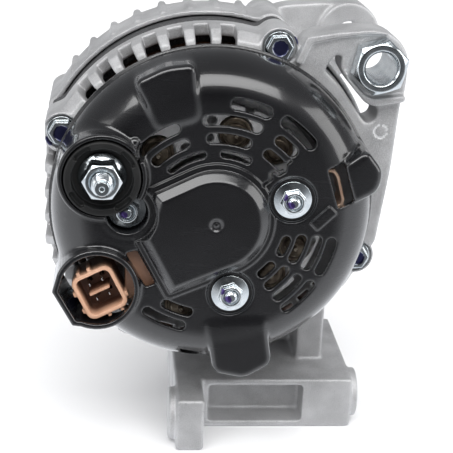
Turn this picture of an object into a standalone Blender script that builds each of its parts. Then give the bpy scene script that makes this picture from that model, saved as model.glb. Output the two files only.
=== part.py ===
"""A car alternator as an assembly: housing castings, stator, rotor, brush gear, rectifier and cover.

The rotor axis is the Y axis. Y grows from the flat rear face of the end cover towards the pulley,
X is to the right seen from the rear, and Z is up. Outlines below are (x, z) in millimetres, profiles
are (radius, y) in millimetres, and everything is scaled to metres when its mesh is made.
"""

from math import cos, pi, radians, sin

import bmesh
import bpy
from mathutils import Matrix, Vector

MM = 0.001
GAP = 0.3
BALL_CLEARANCE = 0.42

# Driving dimensions, mm
COVER_R = 62.5
COVER_FACE_Y = 5.5
COVER_RIM_Y = 26.6
COVER_WALL = 2.2
D_RADIUS = 20.0
BRUSH_ANGLE = radians(207)
B_PLUS = (-42.0, 17.0)
CONNECTOR = (-42.5, -29.0)
CONNECTOR_TILT = radians(27)
COVER_STUDS = ((28.5, 8.6), (6.8, -29.0), (-32.8, 2.3))
THROUGH_BOLTS = ((-57.6, 26.5), (23.5, 61.0), (58.9, -22.2), (-48.3, -40.6))
EAR = (61.0, 55.8)
BODY_R = 67.0
STATOR_R = 66.6
STATOR_Y = (50.3, 88.0)
STATOR_BORE_R = 48.6
SHAFT_R = 7.5
SLIP_RING_R = 7.2
POLES = 8

BOLT_SEAT_Y = 32.0
FLAT_X = 64.2
NOTCH = 0.5
WELD_M = 0.000004

parts = None
cutters = None


def clear_scene():
    for obj in list(bpy.data.objects):
        bpy.data.objects.remove(obj, do_unlink=True)


def new_collection(name):
    collection = bpy.data.collections.new(name)
    bpy.context.scene.collection.children.link(collection)
    return collection


def material(name, colour, metallic, roughness):
    mat = bpy.data.materials.new(name)
    mat.use_nodes = True
    shader = mat.node_tree.nodes["Principled BSDF"]
    shader.inputs["Base Color"].default_value = (*colour, 1.0)
    shader.inputs["Metallic"].default_value = metallic
    shader.inputs["Roughness"].default_value = roughness
    mat.diffuse_color = (*colour, 1.0)
    return mat


FINISHES = {
    "cast_alloy": ((0.72, 0.72, 0.73), 0.9, 0.45),
    "black_plastic": ((0.02, 0.02, 0.023), 0.0, 0.22),
    "matte_black": ((0.03, 0.03, 0.03), 0.0, 0.7),
    "brown_plastic": ((0.72, 0.42, 0.28), 0.0, 0.5),
    "zinc_steel": ((0.68, 0.72, 0.75), 1.0, 0.25),
    "lamination": ((0.16, 0.16, 0.17), 0.6, 0.7),
    "copper": ((0.72, 0.38, 0.2), 1.0, 0.35),
    "bronze": ((0.5, 0.4, 0.28), 1.0, 0.35),
    "steel": ((0.55, 0.56, 0.58), 1.0, 0.4),
    "carbon": ((0.08, 0.08, 0.08), 0.2, 0.6),
}


def paint(obj, finish):
    colour, metallic, roughness = FINISHES[finish]
    obj.data.materials.append(material(obj.name, colour, metallic, roughness))
    return obj


def mesh_object(name, bm, collection):
    """The bmesh, drawn in millimetres, as an object in metres."""
    bmesh.ops.recalc_face_normals(bm, faces=bm.faces)
    bmesh.ops.scale(bm, vec=Vector((MM, MM, MM)), verts=bm.verts)
    mesh = bpy.data.meshes.new(name)
    bm.to_mesh(mesh)
    bm.free()
    obj = bpy.data.objects.new(name, mesh)
    collection.objects.link(obj)
    if collection is cutters:
        obj.hide_render = True
        obj.display_type = "WIRE"
    return obj


def smooth(obj, angle=35):
    obj.data.shade_smooth()
    obj.data.set_sharp_from_angle(angle=radians(angle))
    return obj


def boolean(target, other, operation):
    modifier = target.modifiers.new(operation.lower() + "_" + other.name, "BOOLEAN")
    modifier.operation = operation
    modifier.solver = "EXACT"
    modifier.object = other
    weld = target.modifiers.new("weld_" + other.name, "WELD")
    weld.merge_threshold = WELD_M


def join(target, *others):
    for other in others:
        boolean(target, other, "UNION")


def cut(target, *others):
    for other in others:
        boolean(target, other, "DIFFERENCE")


def turned(name, profile, collection, steps=36, closed=True):
    """A profile of (radius, y) turned about the rotor axis, ordered so that its faces point outwards."""
    mesh = bpy.data.meshes.new(name)
    count = len(profile)
    area = sum(profile[i - 1][0] * profile[i][1] - profile[i][0] * profile[i - 1][1] for i in range(count))
    if area > 0:
        profile = profile[::-1]
    edges = [(i, i + 1) for i in range(count - 1)]
    if closed:
        edges.append((count - 1, 0))
    mesh.from_pydata([(r * MM, y * MM, 0.0) for r, y in profile], edges, [])
    obj = bpy.data.objects.new(name, mesh)
    collection.objects.link(obj)
    if collection is cutters:
        obj.hide_render = True
        obj.display_type = "WIRE"
    screw = obj.modifiers.new("turn", "SCREW")
    screw.axis = "Y"
    screw.angle = 2 * pi
    screw.steps = steps
    screw.render_steps = steps
    screw.use_merge_vertices = True
    screw.merge_threshold = 0.00001
    screw.use_smooth_shade = True
    return obj


def ring(name, inner, outer, y0, y1, collection, steps=36):
    return turned(name, [(inner, y0), (inner, y1), (outer, y1), (outer, y0)], collection, steps)


def add_outline(bm, outline, y0, y1, top_inset=0.0, top_drop=0.0):
    """An outline of (x, z) extruded from y1 back to y0, with an optional chamfer round its rear face."""
    face = bm.faces.new([bm.verts.new((x, y1, z)) for x, z in outline])
    grown = bmesh.ops.extrude_face_region(bm, geom=[face])["geom"]
    moved = [item for item in grown if isinstance(item, bmesh.types.BMVert)]
    bmesh.ops.translate(bm, verts=moved, vec=(0, y0 - y1, 0))
    bm.normal_update()
    rear = [item for item in grown if isinstance(item, bmesh.types.BMFace)]
    if top_inset:
        bmesh.ops.recalc_face_normals(bm, faces=bm.faces)
        bmesh.ops.inset_region(bm, faces=rear, thickness=top_inset, depth=top_drop, use_even_offset=True)


def plate(name, outline, y0, y1, collection, top_inset=0.0, top_drop=0.0):
    bm = bmesh.new()
    add_outline(bm, outline, y0, y1, top_inset, top_drop)
    return mesh_object(name, bm, collection)


def add_rod(bm, centre, radius, y0, y1, segments=16, tip_radius=None, turn=0.0):
    """A cylinder along Y at (x, z), or a cone when tip_radius, its radius at y0, is given."""
    x, z = centre
    rear = radius if tip_radius is None else tip_radius
    place = Matrix.Translation((x, (y0 + y1) / 2, z)) @ Matrix.Rotation(turn, 4, "Y")
    place = place @ Matrix.Rotation(pi / 2, 4, "X")
    bmesh.ops.create_cone(
        bm, cap_ends=True, segments=segments, radius1=radius, radius2=rear, depth=y1 - y0, matrix=place
    )


def rod(name, centre, radius, y0, y1, collection, segments=16):
    bm = bmesh.new()
    add_rod(bm, centre, radius, y0, y1, segments)
    return mesh_object(name, bm, collection)


def rods(name, centres, radius, y0, y1, collection, segments=16):
    bm = bmesh.new()
    for centre in centres:
        add_rod(bm, centre, radius, y0, y1, segments)
    return mesh_object(name, bm, collection)


def add_block(bm, low, high, turn=0.0):
    """A box between two corners, turned about its own centre round Y."""
    size = [h - l for l, h in zip(low, high)]
    middle = [(h + l) / 2 for l, h in zip(low, high)]
    place = Matrix.Translation(middle) @ Matrix.Rotation(turn, 4, "Y") @ Matrix.Diagonal((*size, 1.0))
    bmesh.ops.create_cube(bm, size=1.0, matrix=place)


def block(name, low, high, collection, turn=0.0):
    bm = bmesh.new()
    add_block(bm, low, high, turn)
    return mesh_object(name, bm, collection)


def polar(radius, degrees):
    return (radius * cos(radians(degrees)), radius * sin(radians(degrees)))


def arc_points(centre, radius, start, end, steps):
    """Points round a centre from start to end, in degrees."""
    spread = [start + (end - start) * i / steps for i in range(steps + 1)]
    return [(centre[0] + x, centre[1] + z) for x, z in (polar(radius, a) for a in spread)]


def arc_slot(radius, width, start, end, steps=2):
    """The outline of a slot along an arc about the rotor axis."""
    outer = arc_points((0, 0), radius + width / 2, start, end, steps)
    inner = arc_points((0, 0), radius - width / 2, end, start, steps)
    return outer + inner


def along_brush(out, across):
    """(x, z) at a distance out from the axis along the brush direction, and across it."""
    return (
        out * cos(BRUSH_ANGLE) - across * sin(BRUSH_ANGLE),
        out * sin(BRUSH_ANGLE) + across * cos(BRUSH_ANGLE),
    )


# Rear cover

D_OUTLINE_BASE = arc_points((0, 0), D_RADIUS, -63, 117, 10) + [(-22.9, 10.9), (-27.9, -6.9), (-16.2, -28.7)]
SHROUD_OUTLINE = arc_points((-43.5, -27.0), 16.0, -112, 158, 12) + [(-60.2, -28.0), (-52.6, -41.5)]
BUMPS = (
    ("bump_upper", ((-31.5, 51.5), (-22.4, 34.2), (-7.2, 38.8), (-9.4, 59.0), (-20.0, 57.5)), 29.0),
    ("bump_right", ((46.0, 21.8), (51.4, 7.0), (60.5, 12.3), (62.0, 20.0), (55.0, 28.6)), 29.0),
    ("bump_lower", ((-2.3, -40.6), (2.4, -63.5), (14.0, -65.0), (24.5, -58.5), (21.1, -39.2)), 29.0),
)
BUMP_REAR_Y = 4.8
WELL_FLOOR_Y = 11.6
COVER_SLOTS = (
    (45.0, 4.6, 65, 85),
    (45.4, 4.6, 39, 60),
    (38.4, 4.0, 112, 142),
    (38.4, 4.0, 66, 99),
    (38.4, 4.0, 42, 57),
    (31.6, 3.8, 68, 98),
    (31.8, 3.8, 110, 138),
    (31.8, 3.8, 40, 58),
    (25.8, 2.6, 100, 134),
    (25.8, 2.6, 62, 88),
    (28.0, 3.4, -29, -12),
    (28.0, 3.4, -52, -36),
    (33.5, 3.8, -29, -9),
    (33.5, 3.8, -53, -33),
    (39.3, 3.8, -29, -8),
    (39.3, 3.8, -53, -33),
    (45.0, 3.8, -28, -8),
    (45.0, 3.8, -53, -32),
    (44.2, 3.8, -126, -103),
    (38.0, 3.6, -120, -101),
)


def dome_profile(radius, face_y, rim_y, shoulder_r=44.0, steps=5):
    """Half of the cover's section, rim to centre, with an elliptical shoulder."""
    points = [(0.0, rim_y), (radius, rim_y)]
    for i in range(steps + 1):
        t = pi / 2 * (1 - i / steps)
        level = rim_y - 1.5 - (rim_y - 1.5 - face_y) * cos(t)
        points.append((shoulder_r + (radius - shoulder_r) * sin(t), level))
    points.append((0.0, face_y))
    return points


def shrunk(outline, distance):
    """A convex outline with every corner pulled towards its middle by about a distance."""
    middle = Vector((sum(x for x, _ in outline) / len(outline), sum(z for _, z in outline) / len(outline)))
    points = []
    for corner in outline:
        offset = Vector(corner) - middle
        points.append(tuple(middle + offset * (1 - distance / offset.length)))
    return points


def outline_cutter(name, outlines, y0, y1):
    bm = bmesh.new()
    for outline in outlines:
        add_outline(bm, outline, y0, y1)
    return mesh_object(name, bm, cutters)


def make_end_cover():
    inner_y = COVER_FACE_Y + COVER_WALL
    cover = turned("end_cover", dome_profile(COVER_R, COVER_FACE_Y, COVER_RIM_Y), parts, 36, closed=False)
    join(cover, plate("d_boss", D_OUTLINE_BASE, 3.0, 9.0, cutters, 3.4, 3.0))
    join(cover, rod("hood", B_PLUS, 16.4, 1.0, 24.0, cutters, 28))
    join(cover, plate("shroud", SHROUD_OUTLINE, 2.0, 26.2, cutters))
    for name, outline, end_y in BUMPS:
        join(cover, plate(name, outline, BUMP_REAR_Y + 1.5, end_y - 3, cutters, 1.5, 1.5))
    hollow = dome_profile(COVER_R - COVER_WALL, inner_y, 33.0)
    cut(cover, turned("cover_hollow", hollow, cutters, 36, closed=False))
    cut(cover, plate("d_hollow", shrunk(D_OUTLINE_BASE, 6.0), 2.2, 12.0, cutters))
    bump_hollows = [shrunk(outline, 3.2) for _, outline, _ in BUMPS]
    cut(cover, outline_cutter("bump_hollows", bump_hollows, BUMP_REAR_Y + COVER_WALL, 33.0))
    join(cover, rod("well", COVER_STUDS[2], 9.2, 6.0, WELL_FLOOR_Y + 1.8, cutters))
    cut(cover, rod("hood_hollow", B_PLUS, 14.5, -2.0, 6.5, cutters, 28))
    cut(cover, rod("hood_bore", B_PLUS, 7.6, -2.0, 33.0, cutters))
    cut(cover, plate("shroud_hollow", shrunk(SHROUD_OUTLINE, 2.2), -2.0, 33.0, cutters))
    slots = [arc_slot(r, w, a, b) for r, w, a, b in COVER_SLOTS]
    cut(cover, outline_cutter("slots", slots, 3.0, 12.0))
    windows = (
        ((40.9, 20.5), (45.9, 5.4), (51.8, 7.6), (47.0, 23.0)),
        ((-33.0, -13.2), (-25.2, -26.9), (-21.6, -25.4), (-29.0, -12.0)),
    )
    cut(cover, outline_cutter("windows", windows, 0.0, 14.0))
    cut(cover, rods("nut_recesses", COVER_STUDS[:2], 8.9, 0.0, 6.6, cutters))
    cut(cover, rod("well_hollow", COVER_STUDS[2], 7.8, 0.0, WELL_FLOOR_Y, cutters))
    cut(cover, rods("nut_holes", COVER_STUDS, 3.0, 0.0, 15.0, cutters, 12))
    join(cover, block("tab", (35.4, 4.4, -0.4), (45.4, 6.6, 4.0), cutters, radians(-45)))
    return paint(cover, "black_plastic")


def make_hex_nut(name, centre, across, y0, y1, bore, flange_r, flange_h, finish):
    """A hex nut with a round washer flange on its front, y1 being the seat."""
    bm = bmesh.new()
    add_rod(bm, centre, across / 2 / cos(pi / 6), y0, y1 - flange_h / 2, 6, turn=pi / 6)
    nut = mesh_object(name, bm, parts)
    join(nut, rod(name + "_flange", centre, flange_r, y1 - flange_h, y1, cutters))
    cut(nut, rod(name + "_bore", centre, bore, y0 - 1, y1 + 1, cutters))
    return paint(nut, finish)


def make_cover_fixings():
    for number, centre in enumerate(COVER_STUDS, 1):
        seat = WELL_FLOOR_Y - GAP if number == 3 else 6.3
        make_hex_nut(f"cover_nut_{number}", centre, 8.0, seat - 4.7, seat, 2.8, 7.2, 1.4, "zinc_steel")
        stud = rod(f"cover_stud_{number}", centre, 2.5, seat - 5.9, 27.2, parts, 16)
        paint(smooth(stud), "zinc_steel")


def make_b_plus():
    insulator = rod("b_plus_insulator", B_PLUS, 14.0, 0.0, 6.1, parts, 28)
    join(insulator, rod("insulator_body", B_PLUS, 7.2, 5.0, 20.0, cutters))
    cut(insulator, rod("insulator_mouth", B_PLUS, 11.3, -1.0, 5.0, cutters, 28))
    cut(insulator, rod("insulator_bore", B_PLUS, 4.6, -1.0, 21.0, cutters))
    notches = bmesh.new()
    for turn in (0, pi / 2, pi, 3 * pi / 2):
        x, z = B_PLUS[0] + 13.4 * cos(turn + 0.6), B_PLUS[1] + 13.4 * sin(turn + 0.6)
        add_block(notches, (x - 1.6, -1.0, z - 3.0), (x + 1.6, 1.6, z + 3.0), -(turn + 0.6))
    cut(insulator, mesh_object("insulator_notches", notches, cutters))
    paint(smooth(insulator), "matte_black")
    stud = rod("b_plus_stud", B_PLUS, 4.0, -9.5, 20.5, parts)
    join(stud, rod("dog_point", B_PLUS, 2.7, -11.5, -9.0, cutters))
    join(stud, rod("stud_head", B_PLUS, 6.4, 20.3, 22.0, cutters))
    paint(stud, "zinc_steel")
    make_hex_nut("b_plus_nut", B_PLUS, 13.0, -4.0, 4.6, 4.3, 8.9, 2.0, "zinc_steel")


# Regulator, brushes and rectifier

def square_ring(centre, half_w, half_h, corner, tilt, steps=3):
    """A rounded rectangle's outline, turned about its centre."""
    points = []
    corners = ((half_w, half_h, 0), (-half_w, half_h, 90), (-half_w, -half_h, 180), (half_w, -half_h, 270))
    for w, h, start in corners:
        middle = (w - corner if w > 0 else w + corner, h - corner if h > 0 else h + corner)
        points += arc_points(middle, corner, start, start + 90, steps)
    turned_points = []
    for x, z in points:
        turned_points.append(
            (centre[0] + x * cos(tilt) - z * sin(tilt), centre[1] + x * sin(tilt) + z * cos(tilt))
        )
    return turned_points


def make_regulator():
    body_outline = ((-33.2, -12.0), (-27.6, -11.0), (-20.4, -24.8), (-23.5, -31.0), (-33.0, -34.0))
    regulator = plate("regulator", body_outline, 9.6, 22.0, parts)
    shell = square_ring(CONNECTOR, 8.3, 9.2, 3.2, CONNECTOR_TILT)
    join(regulator, plate("connector_shell", shell, 5.0, 19.0, cutters))
    cavity = square_ring(CONNECTOR, 6.7, 7.6, 2.2, CONNECTOR_TILT)
    cut(regulator, plate("connector_cavity", cavity, 4.0, 15.0, cutters))
    x, z = CONNECTOR
    low, high = (x - 4.2, 8.0, z - 0.5), (x + 4.2, 16.0, z + 0.5)
    join(regulator, block("connector_rib", low, high, cutters, -CONNECTOR_TILT))
    cut(regulator, rods("pin_holes", pin_centres(), 0.9, 8.0, 18.0, cutters, 12))
    keys = bmesh.new()
    for across, out in ((-4.0, 9.4), (4.0, 9.4), (-4.5, -9.4), (4.5, -9.4)):
        kx = x + across * cos(CONNECTOR_TILT) - out * sin(CONNECTOR_TILT)
        kz = z + across * sin(CONNECTOR_TILT) + out * cos(CONNECTOR_TILT)
        add_block(keys, (kx - 0.8, 6.0, kz - 0.9), (kx + 0.8, 14.0, kz + 0.9), -CONNECTOR_TILT)
    join(regulator, mesh_object("connector_keys", keys, cutters))
    paint(regulator, "brown_plastic")
    for number, centre in enumerate(pin_centres(), 1):
        paint(rod(f"connector_pin_{number}", centre, 0.6, 8.5, 17.5, parts, 8), "zinc_steel")


def pin_centres():
    centres = []
    for across, out in ((-2.6, 3.2), (2.6, 3.2), (-2.6, -3.2), (2.6, -3.2)):
        centres.append(
            (
                CONNECTOR[0] + across * cos(CONNECTOR_TILT) - out * sin(CONNECTOR_TILT),
                CONNECTOR[1] + across * sin(CONNECTOR_TILT) + out * cos(CONNECTOR_TILT),
            )
        )
    return centres


BRUSH_LEVELS = (11.7, 18.7)
BRUSH_START, BRUSH_END = 7.5, 17.0
SPRING_END = 20.6


def brush_block(name, out0, out1, half_across, y0, y1, collection):
    corners = ((out0, -half_across), (out1, -half_across), (out1, half_across), (out0, half_across))
    return plate(name, [along_brush(*corner) for corner in corners], y0, y1, collection)


def make_brush_gear():
    holder = brush_block("brush_holder", 9.4, 22.6, 5.0, 8.6, 23.2, parts)
    join(holder, ring("holder_ring", 8.6, 10.8, 8.6, 23.2, cutters, 20))
    cut(holder, rod("holder_bore", (0, 0), 8.75, 8.0, 24.0, cutters, 24))
    for number, level in enumerate(BRUSH_LEVELS, 1):
        low, high = level - 2.25, level + 2.25
        channel = brush_block(
            f"brush_channel_{number}", 7.0, SPRING_END + 0.4, 3.0, low - GAP, high + GAP, cutters
        )
        cut(holder, channel)
        brush = brush_block(f"brush_{number}", BRUSH_START, BRUSH_END, 2.6, low, high, parts)
        paint(brush, "carbon")
        make_spring(f"brush_spring_{number}", level)
    paint(holder, "matte_black")


def make_spring(name, level, turns=4, per_turn=6, coil_r=1.5, wire=0.28):
    """A round-wire coil between a brush and the end of its channel."""
    curve = bpy.data.curves.new(name, "CURVE")
    curve.dimensions = "3D"
    curve.bevel_depth = wire * MM
    curve.bevel_resolution = 0
    curve.use_fill_caps = True
    spline = curve.splines.new("POLY")
    count = turns * per_turn
    spline.points.add(count)
    start, end = BRUSH_END + 0.7, SPRING_END - 0.2
    for i in range(count + 1):
        turn = 2 * pi * i / per_turn
        x, z = along_brush(start + (end - start) * i / count, coil_r * cos(turn))
        spline.points[i].co = (x * MM, (level + coil_r * sin(turn)) * MM, z * MM, 1.0)
    obj = bpy.data.objects.new(name, curve)
    parts.objects.link(obj)
    paint(obj, "steel")


POSITIVE_DIODES = ((-21.7, 23.2), (6.8, 31.4), (22.5, 26.0))
NEGATIVE_DIODES = ((22.8, -23.8), (31.5, -12.4), (-11.5, -37.6))


def make_rectifier():
    positive = plate("rectifier_positive_plate", arc_slot(33.0, 19.0, -62, 143, 14), 15.4, 18.4, parts)
    negative = plate("rectifier_negative_plate", arc_slot(34.0, 21.0, -122, 143, 18), 22.6, 25.4, parts)
    cut(positive, rods("positive_seats", POSITIVE_DIODES, 6.6, 14.0, 20.0, cutters, 14))
    cut(positive, rods("positive_clearance", NEGATIVE_DIODES[:2], 7.2, 14.0, 20.0, cutters, 14))
    cut(negative, rods("negative_seats", NEGATIVE_DIODES, 6.6, 22.0, 26.0, cutters, 14))
    cut(positive, rods("positive_stud_holes", COVER_STUDS, 3.4, 14.0, 20.0, cutters, 10))
    cut(negative, rods("negative_stud_holes", COVER_STUDS, 3.4, 22.0, 26.0, cutters, 10))
    paint(positive, "cast_alloy")
    paint(negative, "cast_alloy")
    seats = [(centre, 12.0, 19.6) for centre in POSITIVE_DIODES] + [(c, 12.0, 25.8) for c in NEGATIVE_DIODES]
    for number, (centre, y0, y1) in enumerate(seats, 1):
        diode = rod(f"diode_{number}", centre, 6.1, y0 + 2.0, y1, parts, 16)
        join(diode, rod(f"diode_{number}_neck", centre, 4.2, y0, y0 + 2.5, cutters, 12))
        join(diode, rod(f"diode_{number}_lead", centre, 0.9, y0 - 2.6, y0 + 0.5, cutters, 6))
        paint(smooth(diode), "bronze")
    block_outline = arc_slot(49.5, 6.0, 30, 105, 10)
    paint(plate("terminal_block", block_outline, 13.0, 21.0, parts), "matte_black")
    strip = plate("phase_lead", ((45.0, 19.8), (48.4, 8.6), (50.0, 9.2), (46.6, 20.4)), 8.6, 21.4, parts)
    cut(strip, block("lead_slot", (45.6, 10.2, 11.5), (49.4, 22.0, 17.5), cutters, radians(-73) + pi / 2))
    paint(strip, "copper")


# Housing

def make_rear_bracket():
    outside = [(0.0, 28.0), (57.0, 28.0), (63.5, 29.6), (BODY_R, 34.0), (BODY_R, 50.0), (0.0, 50.0)]
    inside = [
        (0.0, 20.0), (11.0, 20.0), (11.0, 30.6), (17.8, 30.6), (17.8, 43.0), (22.0, 43.0), (22.0, 31.4),
        (57.0, 31.4), (62.0, 36.0), (62.0, 52.0), (0.0, 52.0),
    ]
    bracket = turned("rear_bracket", outside, parts, 36, closed=False)
    join(bracket, rods("bolt_lugs", THROUGH_BOLTS, 7.4, 30.0, 50.0, cutters, 14))
    ear = (
        (29.5, 55.7), (33.4, 65.6), (44.8, 67.6), (58.0, 69.0), (64.0, 68.0), (69.0, 65.0), (72.6, 59.6),
        (73.0, 53.0), (72.7, 45.3), (71.3, 41.0), (69.8, 14.0), (66.0, -18.0), (58.0, -20.0), (50.0, 10.0),
    )
    join(bracket, plate("ear_plate", ear, 28.6, 45.5, cutters))
    rim = ((29.5, 55.7), (33.4, 65.6), (44.8, 67.6), (58.0, 69.0), (64.0, 68.0), (63.8, 67.2), (56.0, 67.3),
           (45.0, 65.6), (35.2, 63.2), (32.0, 55.0))
    join(bracket, plate("ear_rim", rim, 26.8, 30.0, cutters))
    catch = ((46.4, 53.0), (47.6, 49.0), (55.4, 41.0), (59.6, 39.8), (72.2, 42.2), (72.0, 44.8),
             (60.4, 43.2), (57.2, 43.9), (49.8, 51.0), (49.2, 53.4))
    join(bracket, plate("nut_catch", catch, 24.6, 30.0, cutters))
    cut(bracket, turned("rear_bracket_hollow", inside, cutters, 36, closed=False))
    gap_outline = ((44.5, 58.6), (47.2, 58.6), (47.4, 53.2), (51.1, 47.6), (57.0, 41.2), (62.1, 39.2),
                   (62.4, 34.6), (59.8, 32.6), (57.6, 33.4), (48.0, 46.6), (41.0, 53.0))
    cut(bracket, plate("ear_gap", gap_outline, 20.0, 47.0, cutters))
    cut(bracket, rod("ear_bore", EAR, 8.6, 20.0, 50.0, cutters))
    cut(bracket, rods("bolt_seats", THROUGH_BOLTS, 6.6, 20.0, BOLT_SEAT_Y, cutters))
    cut(bracket, rods("rear_bolt_holes", THROUGH_BOLTS, 3.5, 20.0, 52.0, cutters, 10))
    cut(bracket, rods("stud_seats", COVER_STUDS, 2.9, 20.0, 27.5, cutters, 10))
    cut(bracket, rear_windows())
    cut(bracket, block("left_flat", (-80.0, 20.0, -60.0), (-FLAT_X, 60.0, 60.0), cutters))
    return paint(bracket, "cast_alloy")


def clear_of_bolts(angle, margin=7.0):
    for x, z in THROUGH_BOLTS:
        bolt = Vector((x, z))
        if (Vector(polar(bolt.length, angle)) - bolt).length < margin + 3.4:
            return False
    return True


def rear_windows():
    bm = bmesh.new()
    angle = 86.0
    for step in range(41):
        here = angle + step * 8.8
        if here > 86 + 350 or not clear_of_bolts(here) or (here % 360) < 62:
            continue
        if here % 360 > 330:
            continue
        half = 2.9
        start = [polar(54.0, here), polar(65.0, here)]
        side = Vector(polar(half, here + 90))
        outline = [
            tuple(Vector(start[0]) - side), tuple(Vector(start[1]) - side),
            tuple(Vector(start[1]) + side), tuple(Vector(start[0]) + side),
        ]
        add_outline(bm, outline, 24.0, 44.0)
    return mesh_object("rear_windows", bm, cutters)


def make_front_bracket():
    outside = [
        (0.0, 60.0), (BODY_R + 2.0, 60.0), (BODY_R + 2.0, 84.0), (66.0, 93.0), (58.0, 97.0), (27.0, 97.0),
        (27.0, 111.0), (0.0, 111.0),
    ]
    inside = [
        (0.0, 30.0), (BODY_R + 0.1, 30.0), (BODY_R + 0.1, 88.4), (62.0, 92.6), (23.9, 92.6), (23.9, 107.6),
        (12.5, 107.6), (12.5, 115.0), (0.0, 115.0),
    ]
    bracket = turned("front_bracket", outside, parts, 36, closed=False)
    join(bracket, rods("front_lugs", THROUGH_BOLTS, 7.4, 61.0, 99.0, cutters, 14))
    ribs = [polar(BODY_R + 1.4, a) for a in range(79, 150, 9)]
    join(bracket, rods("edge_ribs", ribs, 1.7, 64.0, 90.0, cutters, 6))
    arm = ((19.9, 62.0), (33.0, 67.0), (52.5, 68.6), (66.5, 67.4), (73.6, 58.0), (70.0, 46.0), (58.0, 36.0),
           (48.0, 40.0))
    join(bracket, plate("front_arm", arm, 92.0, 104.0, cutters))
    join(bracket, rod("front_boss", EAR, 13.0, 90.0, 112.0, cutters, 24))
    join(bracket, block("foot_sleeve", (-1.0, 30.0, -99.0), (62.5, 94.0, -77.5), cutters))
    join(bracket, block("foot_block", (-11.6, 10.0, -99.3), (-0.5, 93.4, -77.2), cutters))
    join(bracket, block("foot_arm", (41.0, 50.4, -79.0), (52.2, 90.0, -40.0), cutters))
    join(bracket, block("foot_web", (-10.8, 70.0, -79.0), (46.0, 92.9, -50.0), cutters))
    pads = bmesh.new()
    across = Matrix.Rotation(pi / 2, 4, "Y")
    for x, y, radius in ((-12.4, 22.0, 10.4), (63.4, 41.0, 10.2)):
        place = Matrix.Translation((x, y, -88.2)) @ across
        bmesh.ops.create_cone(
            pads, cap_ends=True, segments=24, radius1=radius, radius2=radius, depth=4.0, matrix=place
        )
    join(bracket, mesh_object("foot_pads", pads, cutters))
    cut(bracket, block("foot_pocket", (2.5, 20.0, -96.5), (41.8, 42.0, -80.2), cutters))
    hollow = turned("front_bracket_hollow", inside, cutters, 36, closed=False)
    cut(hollow, block("hollow_flat", (-80.0, 20.0, -70.0), (-FLAT_X + 1.6, 120.0, 70.0), cutters))
    cut(bracket, hollow)
    taper = ((72.0, 97.0), (72.0, 53.4), (63.6, 53.4), (57.0, 97.0))
    cut(bracket, foot_taper(taper))
    cut(bracket, rod("front_ear_bore", EAR, 5.2, 80.0, 120.0, cutters))
    cut(bracket, rods("front_bolt_holes", THROUGH_BOLTS, 3.4, 55.0, 96.6, cutters, 8))
    cut(bracket, front_windows())
    cut(bracket, block("front_left_flat", (-80.0, 20.0, -60.0), (-FLAT_X, 120.0, 60.0), cutters))
    return paint(bracket, "cast_alloy")


def foot_taper(outline):
    """A wedge in plan that narrows the foot towards its front, below the body."""
    bm = bmesh.new()
    face = bm.faces.new([bm.verts.new((x, y, -110.0)) for x, y in outline])
    grown = bmesh.ops.extrude_face_region(bm, geom=[face])["geom"]
    moved = [item for item in grown if isinstance(item, bmesh.types.BMVert)]
    bmesh.ops.translate(bm, verts=moved, vec=(0, 0, 36.0))
    return mesh_object("foot_taper", bm, cutters)


def front_windows():
    bm = bmesh.new()
    for step in range(20):
        here = 9.0 + step * 18.0
        if not clear_of_bolts(here, 9.0) or 25 < here % 360 < 60 or 262 < here % 360 < 320:
            continue
        add_outline(bm, arc_slot(50.0, 17.0, here - 4.5, here + 4.5, 2), 90.0, 100.0)
    return mesh_object("front_windows", bm, cutters)


def make_stator():
    core = ring("stator_core", STATOR_BORE_R, STATOR_R, *STATOR_Y, parts, 36)
    join(core, rods("stator_lugs", THROUGH_BOLTS, 6.6, STATOR_Y[0], 59.7, cutters, 14))
    cut(core, rods("stator_bolt_holes", THROUGH_BOLTS, 3.5, 48.0, 92.0, cutters, 10))
    cut(core, block("stator_left_flat", (-80.0, 20.0, -60.0), (-FLAT_X + 2.0, 120.0, 60.0), cutters))
    paint(core, "lamination")
    crown = [(50.5, 34.5), (58.4, 34.5), (59.6, 37.5), (59.6, 49.9), (50.5, 49.9)]
    paint(turned("stator_winding_rear", crown, parts, 36), "copper")
    crown = [(50.5, 88.4), (59.6, 88.4), (59.6, 92.2), (50.5, 92.2)]
    paint(turned("stator_winding_front", crown, parts, 36), "copper")


def make_through_bolts():
    for number, centre in enumerate(THROUGH_BOLTS, 1):
        seat = BOLT_SEAT_Y - GAP
        bolt = rod(f"through_bolt_{number}", centre, 3.0, seat - 3.0, 96.0, parts, 12)
        head = bmesh.new()
        add_rod(head, centre, 5.0, seat - 4.6, seat - 1.0, 6, turn=pi / 6)
        join(bolt, mesh_object(f"through_bolt_{number}_head", head, cutters))
        join(bolt, rod(f"through_bolt_{number}_flange", centre, 5.8, seat - 1.4, seat, cutters))
        paint(bolt, "zinc_steel")


def make_ear_sleeve_nut():
    bm = bmesh.new()
    add_rod(bm, EAR, 19.0 / 2 / cos(pi / 6), 20.0, 28.2, 6, turn=pi / 6 + radians(17))
    nut = mesh_object("ear_sleeve_nut", bm, parts)
    join(nut, rod("sleeve", EAR, 8.2, 27.0, 50.0, cutters))
    cut(nut, rod("sleeve_bore", EAR, 6.0, 10.0, 60.0, cutters, 28))
    return paint(nut, "zinc_steel")


# Rotor

def make_shaft():
    profile = [
        (0.0, 143.0), (6.2, 143.0), (7.0, 142.0), (7.0, 112.0), (8.5, 111.0), (8.5, 88.0), (8.5, 52.0),
        (SHAFT_R, 51.0), (SHAFT_R, 27.0), (4.9, 26.0), (4.9, 8.6), (0.0, 8.6),
    ]
    paint(turned("shaft", profile, parts, 20, closed=False), "steel")


def make_slip_rings():
    for number, level in enumerate(BRUSH_LEVELS, 1):
        piece = ring(f"slip_ring_{number}", 5.2, SLIP_RING_R, level - 2.8, level + 2.8, parts, 24)
        paint(piece, "copper")


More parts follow.
